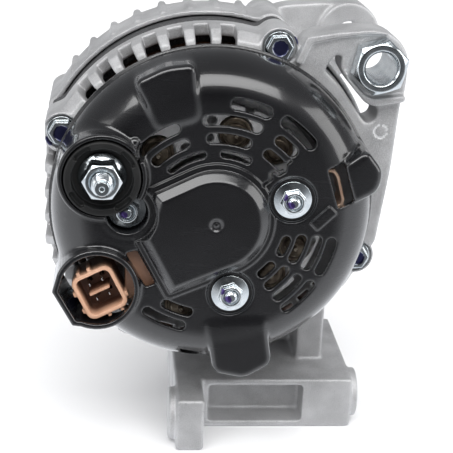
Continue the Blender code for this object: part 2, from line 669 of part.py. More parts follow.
def make_pole(name, disc_y, tip_y, phase):
    """A claw pole: a disc with eight tapered claws that reach over the field coil."""
    low, high = min(disc_y), max(disc_y)
    near, far, core_end = (high, low, 69.35) if tip_y > high else (low, high, 69.65)
    section = [(8.8, far), (35.5, far), (35.5, near), (17.0, near), (17.0, core_end), (8.8, core_end)]
    pole = turned(name, section, parts, 24)
    claws = bmesh.new()
    for number in range(POLES):
        angle = phase + number * 360.0 / POLES
        add_outline(claws, arc_slot(41.0, 13.6, angle - 10.0, angle + 10.0, 2), low, high)
    join(pole, mesh_object(name + "_shoulders", claws, cutters))
    tips = bmesh.new()
    root = high - NOTCH if tip_y > high else low + NOTCH
    for number in range(POLES):
        add_claw(tips, phase + number * 360.0 / POLES, root, tip_y)
    join(pole, mesh_object(name + "_tips", tips, cutters))
    return paint(pole, "steel")


def add_claw(bm, angle, root_y, tip_y):
    """A wedge from the disc to its tip, narrower and thinner at the tip."""
    corners = []
    for y, half, inner in ((root_y, 9.4, 39.6), (tip_y, 3.6, 44.6)):
        for radius, offset in ((inner, -half), (47.8, -half), (47.8, half), (inner, half)):
            x, z = polar(radius, angle + offset)
            corners.append(bm.verts.new((x, y, z)))
    bm.faces.new(corners[:4])
    bm.faces.new(corners[4:][::-1])
    for i in range(4):
        j = (i + 1) % 4
        bm.faces.new((corners[j], corners[i], corners[4 + i], corners[4 + j]))


def make_rotor():
    make_shaft()
    make_slip_rings()
    make_pole("claw_pole_rear", (54.0, 63.4), 83.0, 0.0)
    make_pole("claw_pole_front", (75.6, 85.0), 56.0, 22.5)
    bobbin = [
        (17.4, 63.8), (37.6, 63.8), (37.6, 64.8), (18.6, 64.8), (18.6, 74.2), (37.6, 74.2), (37.6, 75.2),
        (17.4, 75.2),
    ]
    paint(turned("coil_bobbin", bobbin, parts, 20), "matte_black")
    paint(ring("field_coil", 19.0, 36.2, 65.2, 73.8, parts, 20), "copper")
    make_fan("rear_fan", 52.4, 53.6, 45.6, 10)
    make_fan("front_fan", 85.4, 86.6, 91.2, 12)


def make_fan(name, y0, y1, blade_y, blades):
    """A pressed disc with bent-up blades."""
    fan = ring(name, 8.8, 44.0, y0, y1, parts, 24)
    vanes = bmesh.new()
    low, high = (blade_y, y0 + NOTCH) if blade_y < y0 else (y1 - NOTCH, blade_y)
    for number in range(blades):
        angle = number * 360.0 / blades + 7.0 * (number % 3)
        x, z = polar(37.0, angle)
        add_block(vanes, (x - 6.0, low, z - 0.7), (x + 6.0, high, z + 0.7), -radians(angle + 35))
    join(fan, mesh_object(name + "_vanes", vanes, cutters))
    return paint(fan, "steel")


BEARINGS = (
    ("rear_bearing", 7.8, 17.5, 31.4, 42.4, 7),
    ("front_bearing", 8.8, 23.5, 95.4, 107.2, 8),
)


def make_bearings():
    for name, bore, outside, y0, y1, balls in BEARINGS:
        depth = (outside - bore) * 0.28
        middle = (outside + bore) / 2
        ball_r = (outside - bore) / 2 - depth + 0.9
        size = ball_r - BALL_CLEARANCE
        level = (y0 + y1) / 2
        paint(grooved_ring(name + "_outer", outside, outside - depth, y0, y1, ball_r, middle), "steel")
        paint(grooved_ring(name + "_inner", bore, bore + depth, y0, y1, ball_r, middle), "steel")
        wall = (outside - bore) / 2 - depth - 0.5
        low_r, high_r = middle - wall * 0.5, middle + wall * 0.5
        cage = ring(name + "_cage", low_r, high_r, level - 1.6, level + 1.6, parts, 20)
        for number in range(balls):
            bm = bmesh.new()
            x, z = polar(middle, number * 360.0 / balls)
            place = Matrix.Translation((x, level, z))
            bmesh.ops.create_uvsphere(bm, u_segments=8, v_segments=5, radius=size, matrix=place)
            join(cage, mesh_object(f"{name}_ball_{number}", bm, cutters))
        paint(cage, "steel")


def grooved_ring(name, seat_r, track_r, y0, y1, ball_r, middle):
    """A bearing ring whose track is grooved for the balls."""
    level = (y0 + y1) / 2
    outward = 1 if seat_r > track_r else -1
    reach = abs(track_r - middle)
    half = (ball_r**2 - reach**2) ** 0.5
    groove = []
    for i in range(3):
        y = level - half + half * i
        groove.append((middle + outward * max((ball_r**2 - (y - level) ** 2) ** 0.5, reach), y))
    profile = [(seat_r, y0), (track_r, y0)] + groove + [(track_r, y1), (seat_r, y1)]
    return turned(name, profile, parts, 28)


def make_drive_end():
    retainer = ring("bearing_retainer", 16.0, 30.0, 91.1, 92.3, parts, 20)
    paint(retainer, "steel")
    profile = [(7.3, 137.0), (7.3, 113.0), (27.0, 113.0), (28.5, 114.5)]
    groove = 116.0
    for _ in range(6):
        profile += [(28.5, groove), (25.6, groove + 1.5), (28.5, groove + 3.0)]
        groove += 3.4
    profile += [(28.5, 137.4), (24.0, 138.4), (24.0, 131.0), (14.0, 131.0), (14.0, 137.0)]
    paint(turned("pulley", profile, parts, 20), "steel")
    bm = bmesh.new()
    add_rod(bm, (0, 0), 22.0 / 2 / cos(pi / 6), 131.3 + 6.0, 144.5, 6)
    nut = mesh_object("pulley_nut", bm, parts)
    cut(nut, rod("pulley_nut_bore", (0, 0), 7.3, 120.0, 150.0, cutters))
    paint(nut, "zinc_steel")


def build():
    global parts, cutters
    clear_scene()
    parts = new_collection("car_alternator")
    cutters = new_collection("car_alternator_cutters")
    make_end_cover()
    make_cover_fixings()
    make_b_plus()
    make_regulator()
    make_brush_gear()
    make_rectifier()
    make_rear_bracket()
    make_front_bracket()
    make_stator()
    make_through_bolts()
    make_ear_sleeve_nut()
    make_rotor()
    make_bearings()
    make_drive_end()


build()
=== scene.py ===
"""The look of a car alternator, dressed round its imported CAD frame.

Shapes are worked out in millimetres in the frame's axes: Y runs from the rear cover towards the
pulley, X is to the right seen from the rear and Z is up. Castings and mouldings are held as distance
fields on a grid, so that their edges are rounded and their joins blended as a mould would leave them.
"""

from math import cos, hypot, pi, radians, sin

import bpy
import numpy as np
import openvdb
from mathutils import Matrix, Vector


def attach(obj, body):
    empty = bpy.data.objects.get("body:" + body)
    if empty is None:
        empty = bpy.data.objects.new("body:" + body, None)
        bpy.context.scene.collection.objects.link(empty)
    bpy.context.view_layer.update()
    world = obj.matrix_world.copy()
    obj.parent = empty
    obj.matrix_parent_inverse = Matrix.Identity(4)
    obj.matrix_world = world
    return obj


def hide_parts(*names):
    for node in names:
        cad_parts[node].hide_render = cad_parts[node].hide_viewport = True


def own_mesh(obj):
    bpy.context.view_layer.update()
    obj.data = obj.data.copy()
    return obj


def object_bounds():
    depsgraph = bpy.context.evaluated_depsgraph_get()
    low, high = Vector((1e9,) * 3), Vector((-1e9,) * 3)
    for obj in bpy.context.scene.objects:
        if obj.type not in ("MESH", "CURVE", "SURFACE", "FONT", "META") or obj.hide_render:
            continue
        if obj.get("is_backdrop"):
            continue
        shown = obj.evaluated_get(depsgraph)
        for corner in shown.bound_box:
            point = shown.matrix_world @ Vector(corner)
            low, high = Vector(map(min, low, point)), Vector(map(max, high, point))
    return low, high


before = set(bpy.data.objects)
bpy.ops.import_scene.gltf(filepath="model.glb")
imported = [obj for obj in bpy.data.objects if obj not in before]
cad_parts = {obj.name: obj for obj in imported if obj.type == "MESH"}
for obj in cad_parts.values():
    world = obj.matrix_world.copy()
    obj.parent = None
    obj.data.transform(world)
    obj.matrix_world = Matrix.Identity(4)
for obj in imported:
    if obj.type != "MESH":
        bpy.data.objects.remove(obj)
CAD_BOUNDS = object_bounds()

MM = 0.001
FAR = 50.0
AXIS_PAD = -30.0

# Driving dimensions of the alternator, mm
COVER_R = 62.5
COVER_FACE_Y = 5.5
COVER_RIM_Y = 26.6
COVER_WALL = 2.2
LIP = 0.9
D_RADIUS = 20.0
B_PLUS = (-42.0, 17.0)
CONNECTOR = (-42.5, -29.0)
CONNECTOR_TILT = radians(27)
COVER_STUDS = ((28.5, 8.6), (6.8, -29.0), (-32.8, 2.3))
NUT_SEATS_Y = (6.3, 6.3, 11.3)
THROUGH_BOLTS = ((-57.6, 26.5), (23.5, 61.0), (58.9, -22.2), (-48.3, -40.6))
BOLT_SEAT_Y = 31.7
EAR = (61.0, 55.8)
BODY_R = 67.0
FLAT_X = 64.2
STATOR_R = 66.6
STATOR_BORE_R = 48.6
STATOR_Y = (50.3, 88.0)
POSITIVE_DIODES = ((-21.7, 23.2), (6.8, 31.4), (22.5, 26.0))
NEGATIVE_DIODES = ((22.8, -23.8), (31.5, -12.4), (-11.5, -37.6))


# Distance fields


def smooth_max(a, b, blend):
    """The larger of two fields, with the corner between them rounded over about a blend."""
    top = np.maximum(a, b)
    if not blend:
        return top
    overlap = np.maximum(blend - np.abs(a - b), 0.0)
    return top + overlap * overlap / (4 * blend)


def outline_distance(outline, u, v):
    """Signed distance of (u, v) from a closed outline, negative inside it."""
    nearest = np.full(np.broadcast(u, v).shape, np.inf, np.float32)
    inside = np.zeros(nearest.shape, bool)
    for (u0, v0), (u1, v1) in zip(outline, outline[1:] + outline[:1]):
        du, dv = u1 - u0, v1 - v0
        if du == dv == 0:
            continue
        along = np.clip(((u - u0) * du + (v - v0) * dv) / (du * du + dv * dv), 0, 1)
        nearest = np.minimum(nearest, (u - u0 - along * du) ** 2 + (v - v0 - along * dv) ** 2)
        if dv:
            inside ^= ((v0 > v) != (v1 > v)) & (u < u0 + (v - v0) * du / dv)
    return np.where(inside, -1.0, 1.0) * np.sqrt(nearest)


class Shape:
    """A box that holds a shape, and the shape's signed distance at (x, y, z) in it."""

    def __init__(self, low, high, distance):
        self.low = np.array(low, float)
        self.high = np.array(high, float)
        self.distance = distance


def prism(outline, y0, y1, rounding=0.0, grow=0.0, chamfer=None):
    """An outline of (x, z) between two levels. Chamfer is (inset, drop) round its rear face, at y0."""
    outline = list(outline)
    xs, zs = zip(*outline)

    def distance(x, y, z):
        flat = outline_distance(outline, x, z) - grow
        solid = smooth_max(flat, np.abs(y - (y0 + y1) / 2) - (y1 - y0) / 2, rounding)
        if chamfer:
            inset, drop = chamfer
            slope = (1 + flat / inset - (y - y0) / drop) / hypot(1 / inset, 1 / drop)
            solid = smooth_max(solid, slope, rounding)
        return solid

    low = (min(xs) - grow, y0, min(zs) - grow)
    return Shape(low, (max(xs) + grow, y1, max(zs) + grow), distance)


def strokes(points, y0, y1, half_width, rounding=0.0):
    """A thick line through (x, z) points, one prism to a stretch."""
    for start, end in zip(points, points[1:]):
        sliver = [start, end, (end[0] + 0.01, end[1])]
        yield prism(sliver, y0, y1, rounding, grow=half_width)


def rod(centre, radius, y0, y1, rounding=0.0):
    """A cylinder along Y at (x, z)."""
    cx, cz = centre

    def distance(x, y, z):
        side = np.hypot(x - cx, z - cz) - radius
        return smooth_max(side, np.abs(y - (y0 + y1) / 2) - (y1 - y0) / 2, rounding)

    return Shape((cx - radius, y0, cz - radius), (cx + radius, y1, cz + radius), distance)


def cross_rod(centre, radius, x0, x1, rounding=0.0):
    """A cylinder along X at (y, z)."""
    cy, cz = centre

    def distance(x, y, z):
        side = np.hypot(y - cy, z - cz) - radius
        return smooth_max(side, np.abs(x - (x0 + x1) / 2) - (x1 - x0) / 2, rounding)

    return Shape((x0, cy - radius, cz - radius), (x1, cy + radius, cz + radius), distance)


def ball(centre, radius):
    def distance(x, y, z):
        return np.sqrt((x - centre[0]) ** 2 + (y - centre[1]) ** 2 + (z - centre[2]) ** 2) - radius

    return Shape([c - radius for c in centre], [c + radius for c in centre], distance)


def block(low, high, rounding=0.0, turn=0.0):
    """A box between two corners with rounded edges, turned about its own centre round Y."""
    middle = [(a + b) / 2 for a, b in zip(low, high)]
    half = [(b - a) / 2 - rounding for a, b in zip(low, high)]
    reach = hypot(half[0] + rounding, half[2] + rounding)

    def distance(x, y, z):
        dx, dz = x - middle[0], z - middle[2]
        along = np.abs(dx * cos(turn) - dz * sin(turn)) - half[0]
        across = np.abs(dx * sin(turn) + dz * cos(turn)) - half[2]
        deep = np.abs(y - middle[1]) - half[1]
        outside = np.sqrt(
            np.maximum(along, 0) ** 2 + np.maximum(across, 0) ** 2 + np.maximum(deep, 0) ** 2
        )
        return outside + np.minimum(np.maximum(np.maximum(along, across), deep), 0) - rounding

    corner = (middle[0] - reach, low[1], middle[2] - reach)
    return Shape(corner, (middle[0] + reach, high[1], middle[2] + reach), distance)


def turned(profile, centre=(0.0, 0.0), rounding=0.0, table_step=0.1):
    """A closed profile of (radius, y) turned about an axis along Y. Points on the axis lie past it."""
    profile = [(AXIS_PAD if r == 0 else r, y) for r, y in profile]
    reach = max(r for r, _ in profile)
    levels = [y for _, y in profile]

    def distance(x, y, z):
        radius = np.hypot(x - centre[0], z - centre[1])[:, 0, :]
        steps = np.arange(0.0, radius.max() + 2 * table_step, table_step, dtype=np.float32)
        table = outline_distance(profile, steps[:, None], y.reshape(1, -1)) + rounding
        found = np.empty((radius.shape[0], y.shape[1], radius.shape[1]), np.float32)
        for level in range(y.shape[1]):
            found[:, level, :] = np.interp(radius, steps, table[:, level])
        return found - rounding

    low = (centre[0] - reach, min(levels), centre[1] - reach)
    return Shape(low, (centre[0] + reach, max(levels), centre[1] + reach), distance)


def arc_slot(radius, width, start, end, y0, y1, rounding=0.0):
    """A slot with round ends along an arc about the rotor axis, from start to end in degrees."""
    middle, half = radians((start + end) / 2), radians(end - start) / 2 - width / 2 / radius
    outer = radius + width / 2

    def distance(x, y, z):
        turn = np.arctan2(-x * sin(middle) + z * cos(middle), x * cos(middle) + z * sin(middle))
        turn = np.clip(turn, -half, half) + middle
        side = np.hypot(x - radius * np.cos(turn), z - radius * np.sin(turn)) - width / 2
        return smooth_max(side, np.abs(y - (y0 + y1) / 2) - (y1 - y0) / 2, rounding)

    ends = [polar(outer, a) for a in np.linspace(start, end, 5)]
    ends += [polar(radius - width / 2, a) for a in (start, end)]
    xs, zs = zip(*ends)
    return Shape((min(xs) - 1, y0, min(zs) - 1), (max(xs) + 1, y1, max(zs) + 1), distance)


def half_space(axis, level, keep):
    """Everything past a level along an axis: keep is -1 for the low side and 1 for the high side."""

    def distance(*grids):
        return keep * (level - grids[axis])

    return Shape((-300, -300, -300), (300, 300, 300), distance)


def linked(obj):
    bpy.context.collection.objects.link(obj)
    return obj


class Solid:
    """Shapes added and cut on a grid of cells, in millimetres."""

    def __init__(self, low, high, cell):
        self.cell = cell
        self.low = np.array(low, float) - 3 * cell
        counts = np.ceil((np.array(high) + 3 * cell - self.low) / cell).astype(int) + 1
        self.axes = [self.low[i] + cell * np.arange(counts[i], dtype=np.float32) for i in range(3)]
        self.field = np.full(counts, FAR, np.float32)

    def near(self, shape, blend):
        """The stretch of the grid that a shape can change, and the coordinates in it."""
        reach = blend + 3 * self.cell
        spans = []
        for axis, low, high in zip(self.axes, shape.low - reach, shape.high + reach):
            spans.append(slice(*np.searchsorted(axis, (low, high))))
        x, y, z = (axis[span] for axis, span in zip(self.axes, spans))
        return tuple(spans), (x[:, None, None], y[None, :, None], z[None, None, :])

    def add(self, shape, blend=0.0):
        where, grids = self.near(shape, blend)
        self.field[where] = -smooth_max(-self.field[where], -shape.distance(*grids), blend)

    def cut(self, shape, blend=0.0):
        where, grids = self.near(shape, blend)
        self.field[where] = smooth_max(self.field[where], -shape.distance(*grids), blend)

    def drill(self, centres, radius, y0, y1, blend=0.0):
        for centre in centres:
            self.cut(rod(centre, radius, y0, y1), blend)

    def keep(self, shape, blend=0.0):
        where, grids = self.near(shape, blend)
        self.field[where] = smooth_max(self.field[where], shape.distance(*grids), blend)

    def hollow(self, wall):
        """Leaves a shell of even thickness under the surface."""
        self.field = np.maximum(self.field, -(self.field + wall))

    def to_object(self, name, finish):
        grid = openvdb.FloatGrid(3 * self.cell)
        grid.copyFromArray(np.clip(self.field, -3 * self.cell, 3 * self.cell))
        points, quads = grid.convertToQuads(isovalue=0.0)
        points = (points * self.cell + self.low) * MM
        mesh = bpy.data.meshes.new(name)
        mesh.vertices.add(len(points))
        mesh.vertices.foreach_set("co", points.astype(np.float32).ravel())
        mesh.loops.add(quads.size)
        mesh.loops.foreach_set("vertex_index", quads[:, ::-1].astype(np.int32).ravel())
        mesh.polygons.add(len(quads))
        mesh.polygons.foreach_set("loop_start", np.arange(0, quads.size, 4, dtype=np.int32))
        mesh.update(calc_edges=True)
        mesh.shade_smooth()
        mesh.materials.append(finish)
        obj = bpy.data.objects.new(name, mesh)
        return linked(obj)


def stand_in(piece, node, body="housing"):
    """Shows a piece in place of a CAD node, riding on a body."""
    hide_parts(node)
    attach(piece, body)


# Outlines


def polar(radius, degrees):
    return (radius * cos(radians(degrees)), radius * sin(radians(degrees)))


def arc_points(centre, radius, start, end, steps):
    """Points round a centre from start to end, in degrees."""
    spread = [start + (end - start) * i / steps for i in range(steps + 1)]
    return [(centre[0] + x, centre[1] + z) for x, z in (polar(radius, a) for a in spread)]


def rounded(outline, radius, steps=6):
    """An outline with its corners rounded by quadratic curves."""
    points = []
    count = len(outline)
    for i in range(count):
        here = Vector(outline[i])
        before, after = Vector(outline[i - 1]) - here, Vector(outline[(i + 1) % count]) - here
        start = here + before * min(radius / before.length, 0.45)
        end = here + after * min(radius / after.length, 0.45)
        for step in range(steps + 1):
            t = step / steps
            points.append(tuple(start * (1 - t) ** 2 + here * 2 * t * (1 - t) + end * t * t))
    return points


def hexagon(centre, across, turn=0.0):
    """A hexagon by its distance across flats."""
    return [
        (centre[0] + x, centre[1] + z)
        for x, z in (polar(across / 2 / cos(pi / 6), 60 * i + turn) for i in range(6))
    ]


def rounded_box(centre, half_w, half_h, corner, tilt):
    """A rounded rectangle's outline, turned about its centre."""
    points = []
    for w, h, start in ((1, 1, 0), (-1, 1, 90), (-1, -1, 180), (1, -1, 270)):
        middle = (w * (half_w - corner), h * (half_h - corner))
        points += arc_points(middle, corner, start, start + 90, 6)
    turn = Matrix.Rotation(tilt, 2)
    return [tuple(turn @ Vector(point) + Vector(centre)) for point in points]


# Finishes


class Finish:
    """A node material on object coordinates, with helpers that add and link its nodes."""

    def __init__(self, name, metallic=0.0, coat=0.0, specular=0.5):
        self.material = bpy.data.materials.new(name)
        self.material.use_nodes = True
        self.tree = self.material.node_tree
        self.shader = self.tree.nodes["Principled BSDF"]
        self.shader.inputs["Metallic"].default_value = metallic
        self.shader.inputs["Coat Weight"].default_value = coat
        self.shader.inputs["Specular IOR Level"].default_value = specular
        self.place = self.tree.nodes.new("ShaderNodeTexCoord").outputs["Object"]

    def node(self, kind, inputs, **settings):
        """A node with its settings made and its inputs linked or set, by name or number."""
        node = self.tree.nodes.new("ShaderNode" + kind)
        for setting, value in settings.items():
            setattr(node, setting, value)
        for socket, value in inputs.items():
            if isinstance(value, bpy.types.NodeSocket):
                self.tree.links.new(value, node.inputs[socket])
            else:
                node.inputs[socket].default_value = value
        return node

    def noise(self, scale, detail=2.0, stretch=None):
        """Noise from 0 to 1, with about scale cells to the metre."""
        place = self.place
        if stretch:
            place = self.node("Mapping", {"Vector": place, "Scale": stretch}).outputs[0]
        return self.node("TexNoise", {"Vector": place, "Scale": scale, "Detail": detail}).outputs[0]

    def spread(self, value, low, high, new_low=0.0, new_high=1.0):
        """A value mapped from one range to another and held inside it."""
        inputs = {"Value": value, 1: low, 2: high, 3: new_low, 4: new_high}
        return self.node("MapRange", inputs, clamp=True).outputs[0]

    def math(self, operation, a, b=0.0):
        return self.node("Math", {0: a, 1: b}, operation=operation).outputs[0]

    def mix(self, amount, a, b):
        a, b = ((*c, 1.0) if isinstance(c, tuple) else c for c in (a, b))
        return self.node("Mix", {0: amount, 6: a, 7: b}, data_type="RGBA").outputs[2]

    def bump(self, height, distance, strength=1.0, under=None):
        inputs = {"Height": height, "Distance": distance, "Strength": strength}
        if under is not None:
            inputs["Normal"] = under
        return self.node("Bump", inputs).outputs[0]

    def edges(self, low=0.515, high=0.56):
        """1 on raised edges and 0 on flats and in hollows."""
        return self.spread(self.node("NewGeometry", {}).outputs["Pointiness"], low, high)

    def near(self, centre, radius, ragged=0.25):
        """1 within a radius of a point in millimetres, with an uneven edge."""
        point = tuple(c * MM for c in centre)
        inputs = {0: self.place, 1: point}
        gap = self.node("VectorMath", inputs, operation="DISTANCE").outputs["Value"]
        wander = self.math("MULTIPLY", self.noise(900.0), ragged * radius * 2 * MM)
        edge = self.math("ADD", gap, wander)
        outer = radius * (1 + ragged) * MM
        return self.spread(edge, outer, outer * 0.86)

    def done(self, colour, roughness, normal):
        for socket, value in (("Base Color", colour), ("Roughness", roughness), ("Normal", normal)):
            self.tree.links.new(value, self.shader.inputs[socket])
        return self.material


NAVY = (0.012, 0.012, 0.11)


def cast_alloy(
    name="cast_alloy", dark=(0.38, 0.38, 0.385), light=(0.60, 0.60, 0.605), metallic=0.6, spots=()
):
    """Bead-blasted die-cast aluminium, brighter along its edges, with inspection paint at the spots."""
    finish = Finish(name, metallic=metallic)
    grain = finish.noise(2600.0, 3.0)
    cloud = finish.noise(70.0, 4.0)
    speck = finish.noise(900.0, 2.0)
    tone = finish.mix(finish.spread(cloud, 0.3, 0.7), dark, light)
    tone = finish.mix(finish.spread(grain, 0.35, 0.75, 0.0, 0.35), tone, (0.88, 0.88, 0.89))
    tone = finish.mix(finish.spread(speck, 0.66, 0.74, 0.0, 0.4), tone, (0.30, 0.30, 0.31))
    tone = finish.mix(finish.math("MULTIPLY", finish.edges(), 0.75), tone, (0.95, 0.95, 0.96))
    for centre, radius in spots:
        tone = finish.mix(finish.math("MULTIPLY", finish.near(centre, radius), 0.9), tone, NAVY)
    roughness = finish.spread(grain, 0.2, 0.8, 0.40, 0.58)
    relief = finish.bump(grain, 0.00030, 0.6)
    return finish.done(tone, roughness, finish.bump(cloud, 0.0006, 0.3, relief))


def gloss_plastic(name="gloss_black"):
    """Glossy black moulded nylon with faint flow marks and fine scuffs."""
    finish = Finish(name, coat=1.0)
    finish.shader.inputs["Coat Roughness"].default_value = 0.09
    cloud = finish.noise(28.0, 3.0)
    grain = finish.noise(1500.0, 2.0)
    scuff = finish.noise(60.0, 6.0, stretch=(1.0, 1.0, 9.0))
    dark, light = (0.0048, 0.0048, 0.0055), (0.0095, 0.0095, 0.011)
    tone = finish.mix(finish.spread(cloud, 0.3, 0.7), dark, light)
    tone = finish.mix(finish.math("MULTIPLY", finish.edges(0.53, 0.62), 0.5), tone, (0.05, 0.05, 0.055))
    rough = finish.spread(cloud, 0.3, 0.7, 0.20, 0.27)
    rough = finish.math("ADD", rough, finish.spread(scuff, 0.60, 0.72, 0.0, 0.10))
    relief = finish.bump(grain, 0.00004, 0.25)
    return finish.done(tone, rough, finish.bump(cloud, 0.0003, 0.12, relief))


def matte_plastic(name, dark, light, rough=(0.5, 0.62)):
    """Moulded plastic with a fine spark-eroded grain."""
    finish = Finish(name, specular=0.4)
    grain = finish.noise(2400.0, 2.0)
    cloud = finish.noise(120.0, 3.0)
    tone = finish.mix(finish.spread(cloud, 0.3, 0.7), dark, light)
    paler = tuple(min(1.0, channel * 1.5 + 0.01) for channel in light)
    tone = finish.mix(finish.math("MULTIPLY", finish.edges(), 0.6), tone, paler)
    return finish.done(tone, finish.spread(grain, 0.3, 0.7, *rough), finish.bump(grain, 0.00008, 0.35))


def peach_nylon(name="peach_nylon"):
    """Peach-coloured nylon, darkened to brown deep inside the cover by painted shade."""
    finish = Finish(name, specular=0.4)
    grain = finish.noise(2400.0, 2.0)
    cloud = finish.noise(120.0, 3.0)
    tone = finish.mix(finish.spread(cloud, 0.3, 0.7), (0.54, 0.31, 0.20), (0.68, 0.41, 0.28))
    tone = finish.mix(finish.math("MULTIPLY", finish.edges(), 0.5), tone, (0.85, 0.62, 0.48))
    # Painted shade: the colour turns dark brown the deeper the surface sits along Y inside the cover.
    level = finish.node("SeparateXYZ", {0: finish.place}).outputs[1]
    depth = finish.spread(level, 6.4 * MM, 11.0 * MM, 0.0, 0.92)
    tone = finish.mix(depth, tone, (0.085, 0.035, 0.022))
    rough = finish.spread(grain, 0.3, 0.7, 0.34, 0.48)
    return finish.done(tone, rough, finish.bump(grain, 0.00008, 0.35))


def zinc_steel(name="zinc_steel", paint=NAVY, spots=()):
    """Bright zinc plate over steel, with inspection paint at the given (centre, radius) spots."""
    finish = Finish(name, metallic=1.0)
    cloud = finish.noise(240.0, 4.0)
    grain = finish.noise(1700.0, 2.0)
    tone = finish.mix(finish.spread(cloud, 0.3, 0.7), (0.62, 0.68, 0.72), (0.84, 0.88, 0.90))
    tone = finish.mix(finish.spread(grain, 0.6, 0.8, 0.0, 0.35), tone, (0.45, 0.50, 0.54))
    rough = finish.spread(cloud, 0.3, 0.7, 0.12, 0.24)
    for centre, radius in spots:
        mask = finish.near(centre, radius)
        tone = finish.mix(finish.math("MULTIPLY", mask, 0.93), tone, paint)
        rough = finish.math("ADD", rough, finish.math("MULTIPLY", mask, 0.2))
    relief = finish.bump(grain, 0.00004, 0.4)
    return finish.done(tone, rough, finish.bump(cloud, 0.00012, 0.3, relief))


def plain_steel(name="plain_steel", dark=(0.30, 0.30, 0.31), light=(0.52, 0.52, 0.54)):
    """Oiled bare steel with faint turning marks."""
    finish = Finish(name, metallic=0.95)
    marks = finish.noise(260.0, 4.0, stretch=(1.0, 12.0, 1.0))
    cloud = finish.noise(90.0, 3.0)
    tone = finish.mix(finish.spread(cloud, 0.3, 0.7), dark, light)
    rough = finish.spread(marks, 0.3, 0.7, 0.30, 0.48)
    return finish.done(tone, rough, finish.bump(marks, 0.00006, 0.35))


def laminations(name="laminations"):
    """A stack of varnished stator sheets, seen as fine rings along Y."""
    finish = Finish(name, metallic=0.45)
    level = finish.node("SeparateXYZ", {0: finish.place}).outputs[1]
    phase = finish.math("MULTIPLY", level, 2 * pi / (0.9 * MM))
    sheet = finish.math("SINE", phase)
    grain = finish.noise(1300.0, 4.0)
    tone = finish.mix(finish.spread(grain, 0.3, 0.7), (0.035, 0.035, 0.037), (0.17, 0.17, 0.175))
    tone = finish.mix(finish.spread(sheet, 0.55, 1.0, 0.0, 0.5), tone, (0.02, 0.02, 0.02))
    relief = finish.bump(grain, 0.0004, 0.6, finish.bump(sheet, 0.0002, 0.5))
    return finish.done(tone, finish.spread(grain, 0.3, 0.7, 0.55, 0.8), relief)


def enamel_copper(name="enamel_copper", dark=(0.20, 0.07, 0.03), light=(0.50, 0.20, 0.08)):
    """Copper under enamel and varnish that has pooled unevenly."""
    finish = Finish(name, metallic=0.7, coat=0.4)
    cloud = finish.noise(160.0, 4.0)
    grain = finish.noise(1400.0, 2.0)
    tone = finish.mix(finish.spread(cloud, 0.3, 0.7), dark, light)
    return finish.done(tone, finish.spread(grain, 0.3, 0.7, 0.25, 0.42), finish.bump(grain, 0.0001, 0.4))


def bronze_cap(name="bronze_cap"):
    """The tarnished bronze-coloured cup of a press-fit diode."""
    finish = Finish(name, metallic=0.85)
    cloud = finish.noise(330.0, 4.0)
    grain = finish.noise(2100.0, 2.0)
    tone = finish.mix(finish.spread(cloud, 0.35, 0.65), (0.085, 0.062, 0.045), (0.36, 0.30, 0.23))
    tone = finish.mix(finish.math("MULTIPLY", finish.edges(0.52, 0.58), 0.8), tone, (0.62, 0.55, 0.45))
    return finish.done(tone, finish.spread(grain, 0.3, 0.7, 0.28, 0.5), finish.bump(grain, 0.0001, 0.5))


# Rear cover

D_OUTLINE = arc_points((0, 0), D_RADIUS, -63, 117, 40) + [(-22.9, 10.9), (-27.9, -6.9), (-16.2, -28.7)]
SHROUD = arc_points((-43.5, -27.0), 16.0, -112, 158, 40) + [(-60.2, -28.0), (-52.6, -41.5)]
BUMPS = (
    ((-31.5, 51.5), (-22.4, 34.2), (-7.2, 38.8), (-9.4, 59.0), (-20.0, 57.5)),
    ((46.0, 21.8), (51.4, 7.0), (60.5, 12.3), (62.0, 20.0), (55.0, 28.6)),
    ((-2.3, -40.6), (1.6, -62.5), (14.0, -65.0), (24.5, -58.5), (21.1, -39.2)),
)
BUMP_REAR_Y = 4.8
WELL_FLOOR_Y = 11.6
COVER_SLOTS = (
    (45.0, 4.6, 65, 85),
    (45.4, 4.6, 39, 60),
    (38.4, 4.0, 112, 142),
    (38.4, 4.0, 66, 99),
    (38.4, 4.0, 42, 57),
    (31.6, 3.8, 68, 98),
    (31.8, 3.8, 110, 138),
    (31.8, 3.8, 40, 58),
    (25.8, 2.6, 100, 134),
    (25.8, 2.6, 62, 88),
    (28.0, 3.4, -29, -12),
    (28.0, 3.4, -52, -36),
    (33.5, 3.8, -29, -9),
    (33.5, 3.8, -53, -33),
    (39.3, 3.8, -29, -8),
    (39.3, 3.8, -53, -33),
    (45.0, 3.8, -28, -8),
    (45.0, 3.8, -53, -32),
    (44.2, 3.8, -126, -103),
    (38.0, 3.6, -120, -101),
)
COVER_WINDOWS = (
    ((40.9, 20.5), (45.9, 5.4), (51.8, 7.6), (47.0, 23.0)),
    ((-33.0, -13.2), (-25.2, -26.9), (-21.6, -25.4), (-29.0, -12.0)),
    ((-11.4, -54.4), (-3.6, -56.0), (-2.6, -60.2), (-10.0, -58.6)),
)
LATCH_SLIT = (
    (17.1, 14.2), (20.0, 16.4), (19.5, 18.4), (20.9, 19.7), (22.7, 18.2), (24.9, 19.6), (25.2, 22.3),
    (26.8, 23.6),
)


def dome_profile(radius, face_y, open_y, shoulder_r=44.0, steps=24):
    """Half of the cover's section with an elliptical shoulder, carried past the rim to an open end."""
    straight_y = COVER_RIM_Y - 1.5
    points = [(0.0, open_y), (radius, open_y)]
    for i in range(steps + 1):
        t = pi / 2 * (1 - i / steps)
        level = straight_y - (straight_y - face_y) * cos(t)
        points.append((shoulder_r + (radius - shoulder_r) * sin(t), level))
    return points + [(0.0, face_y)]


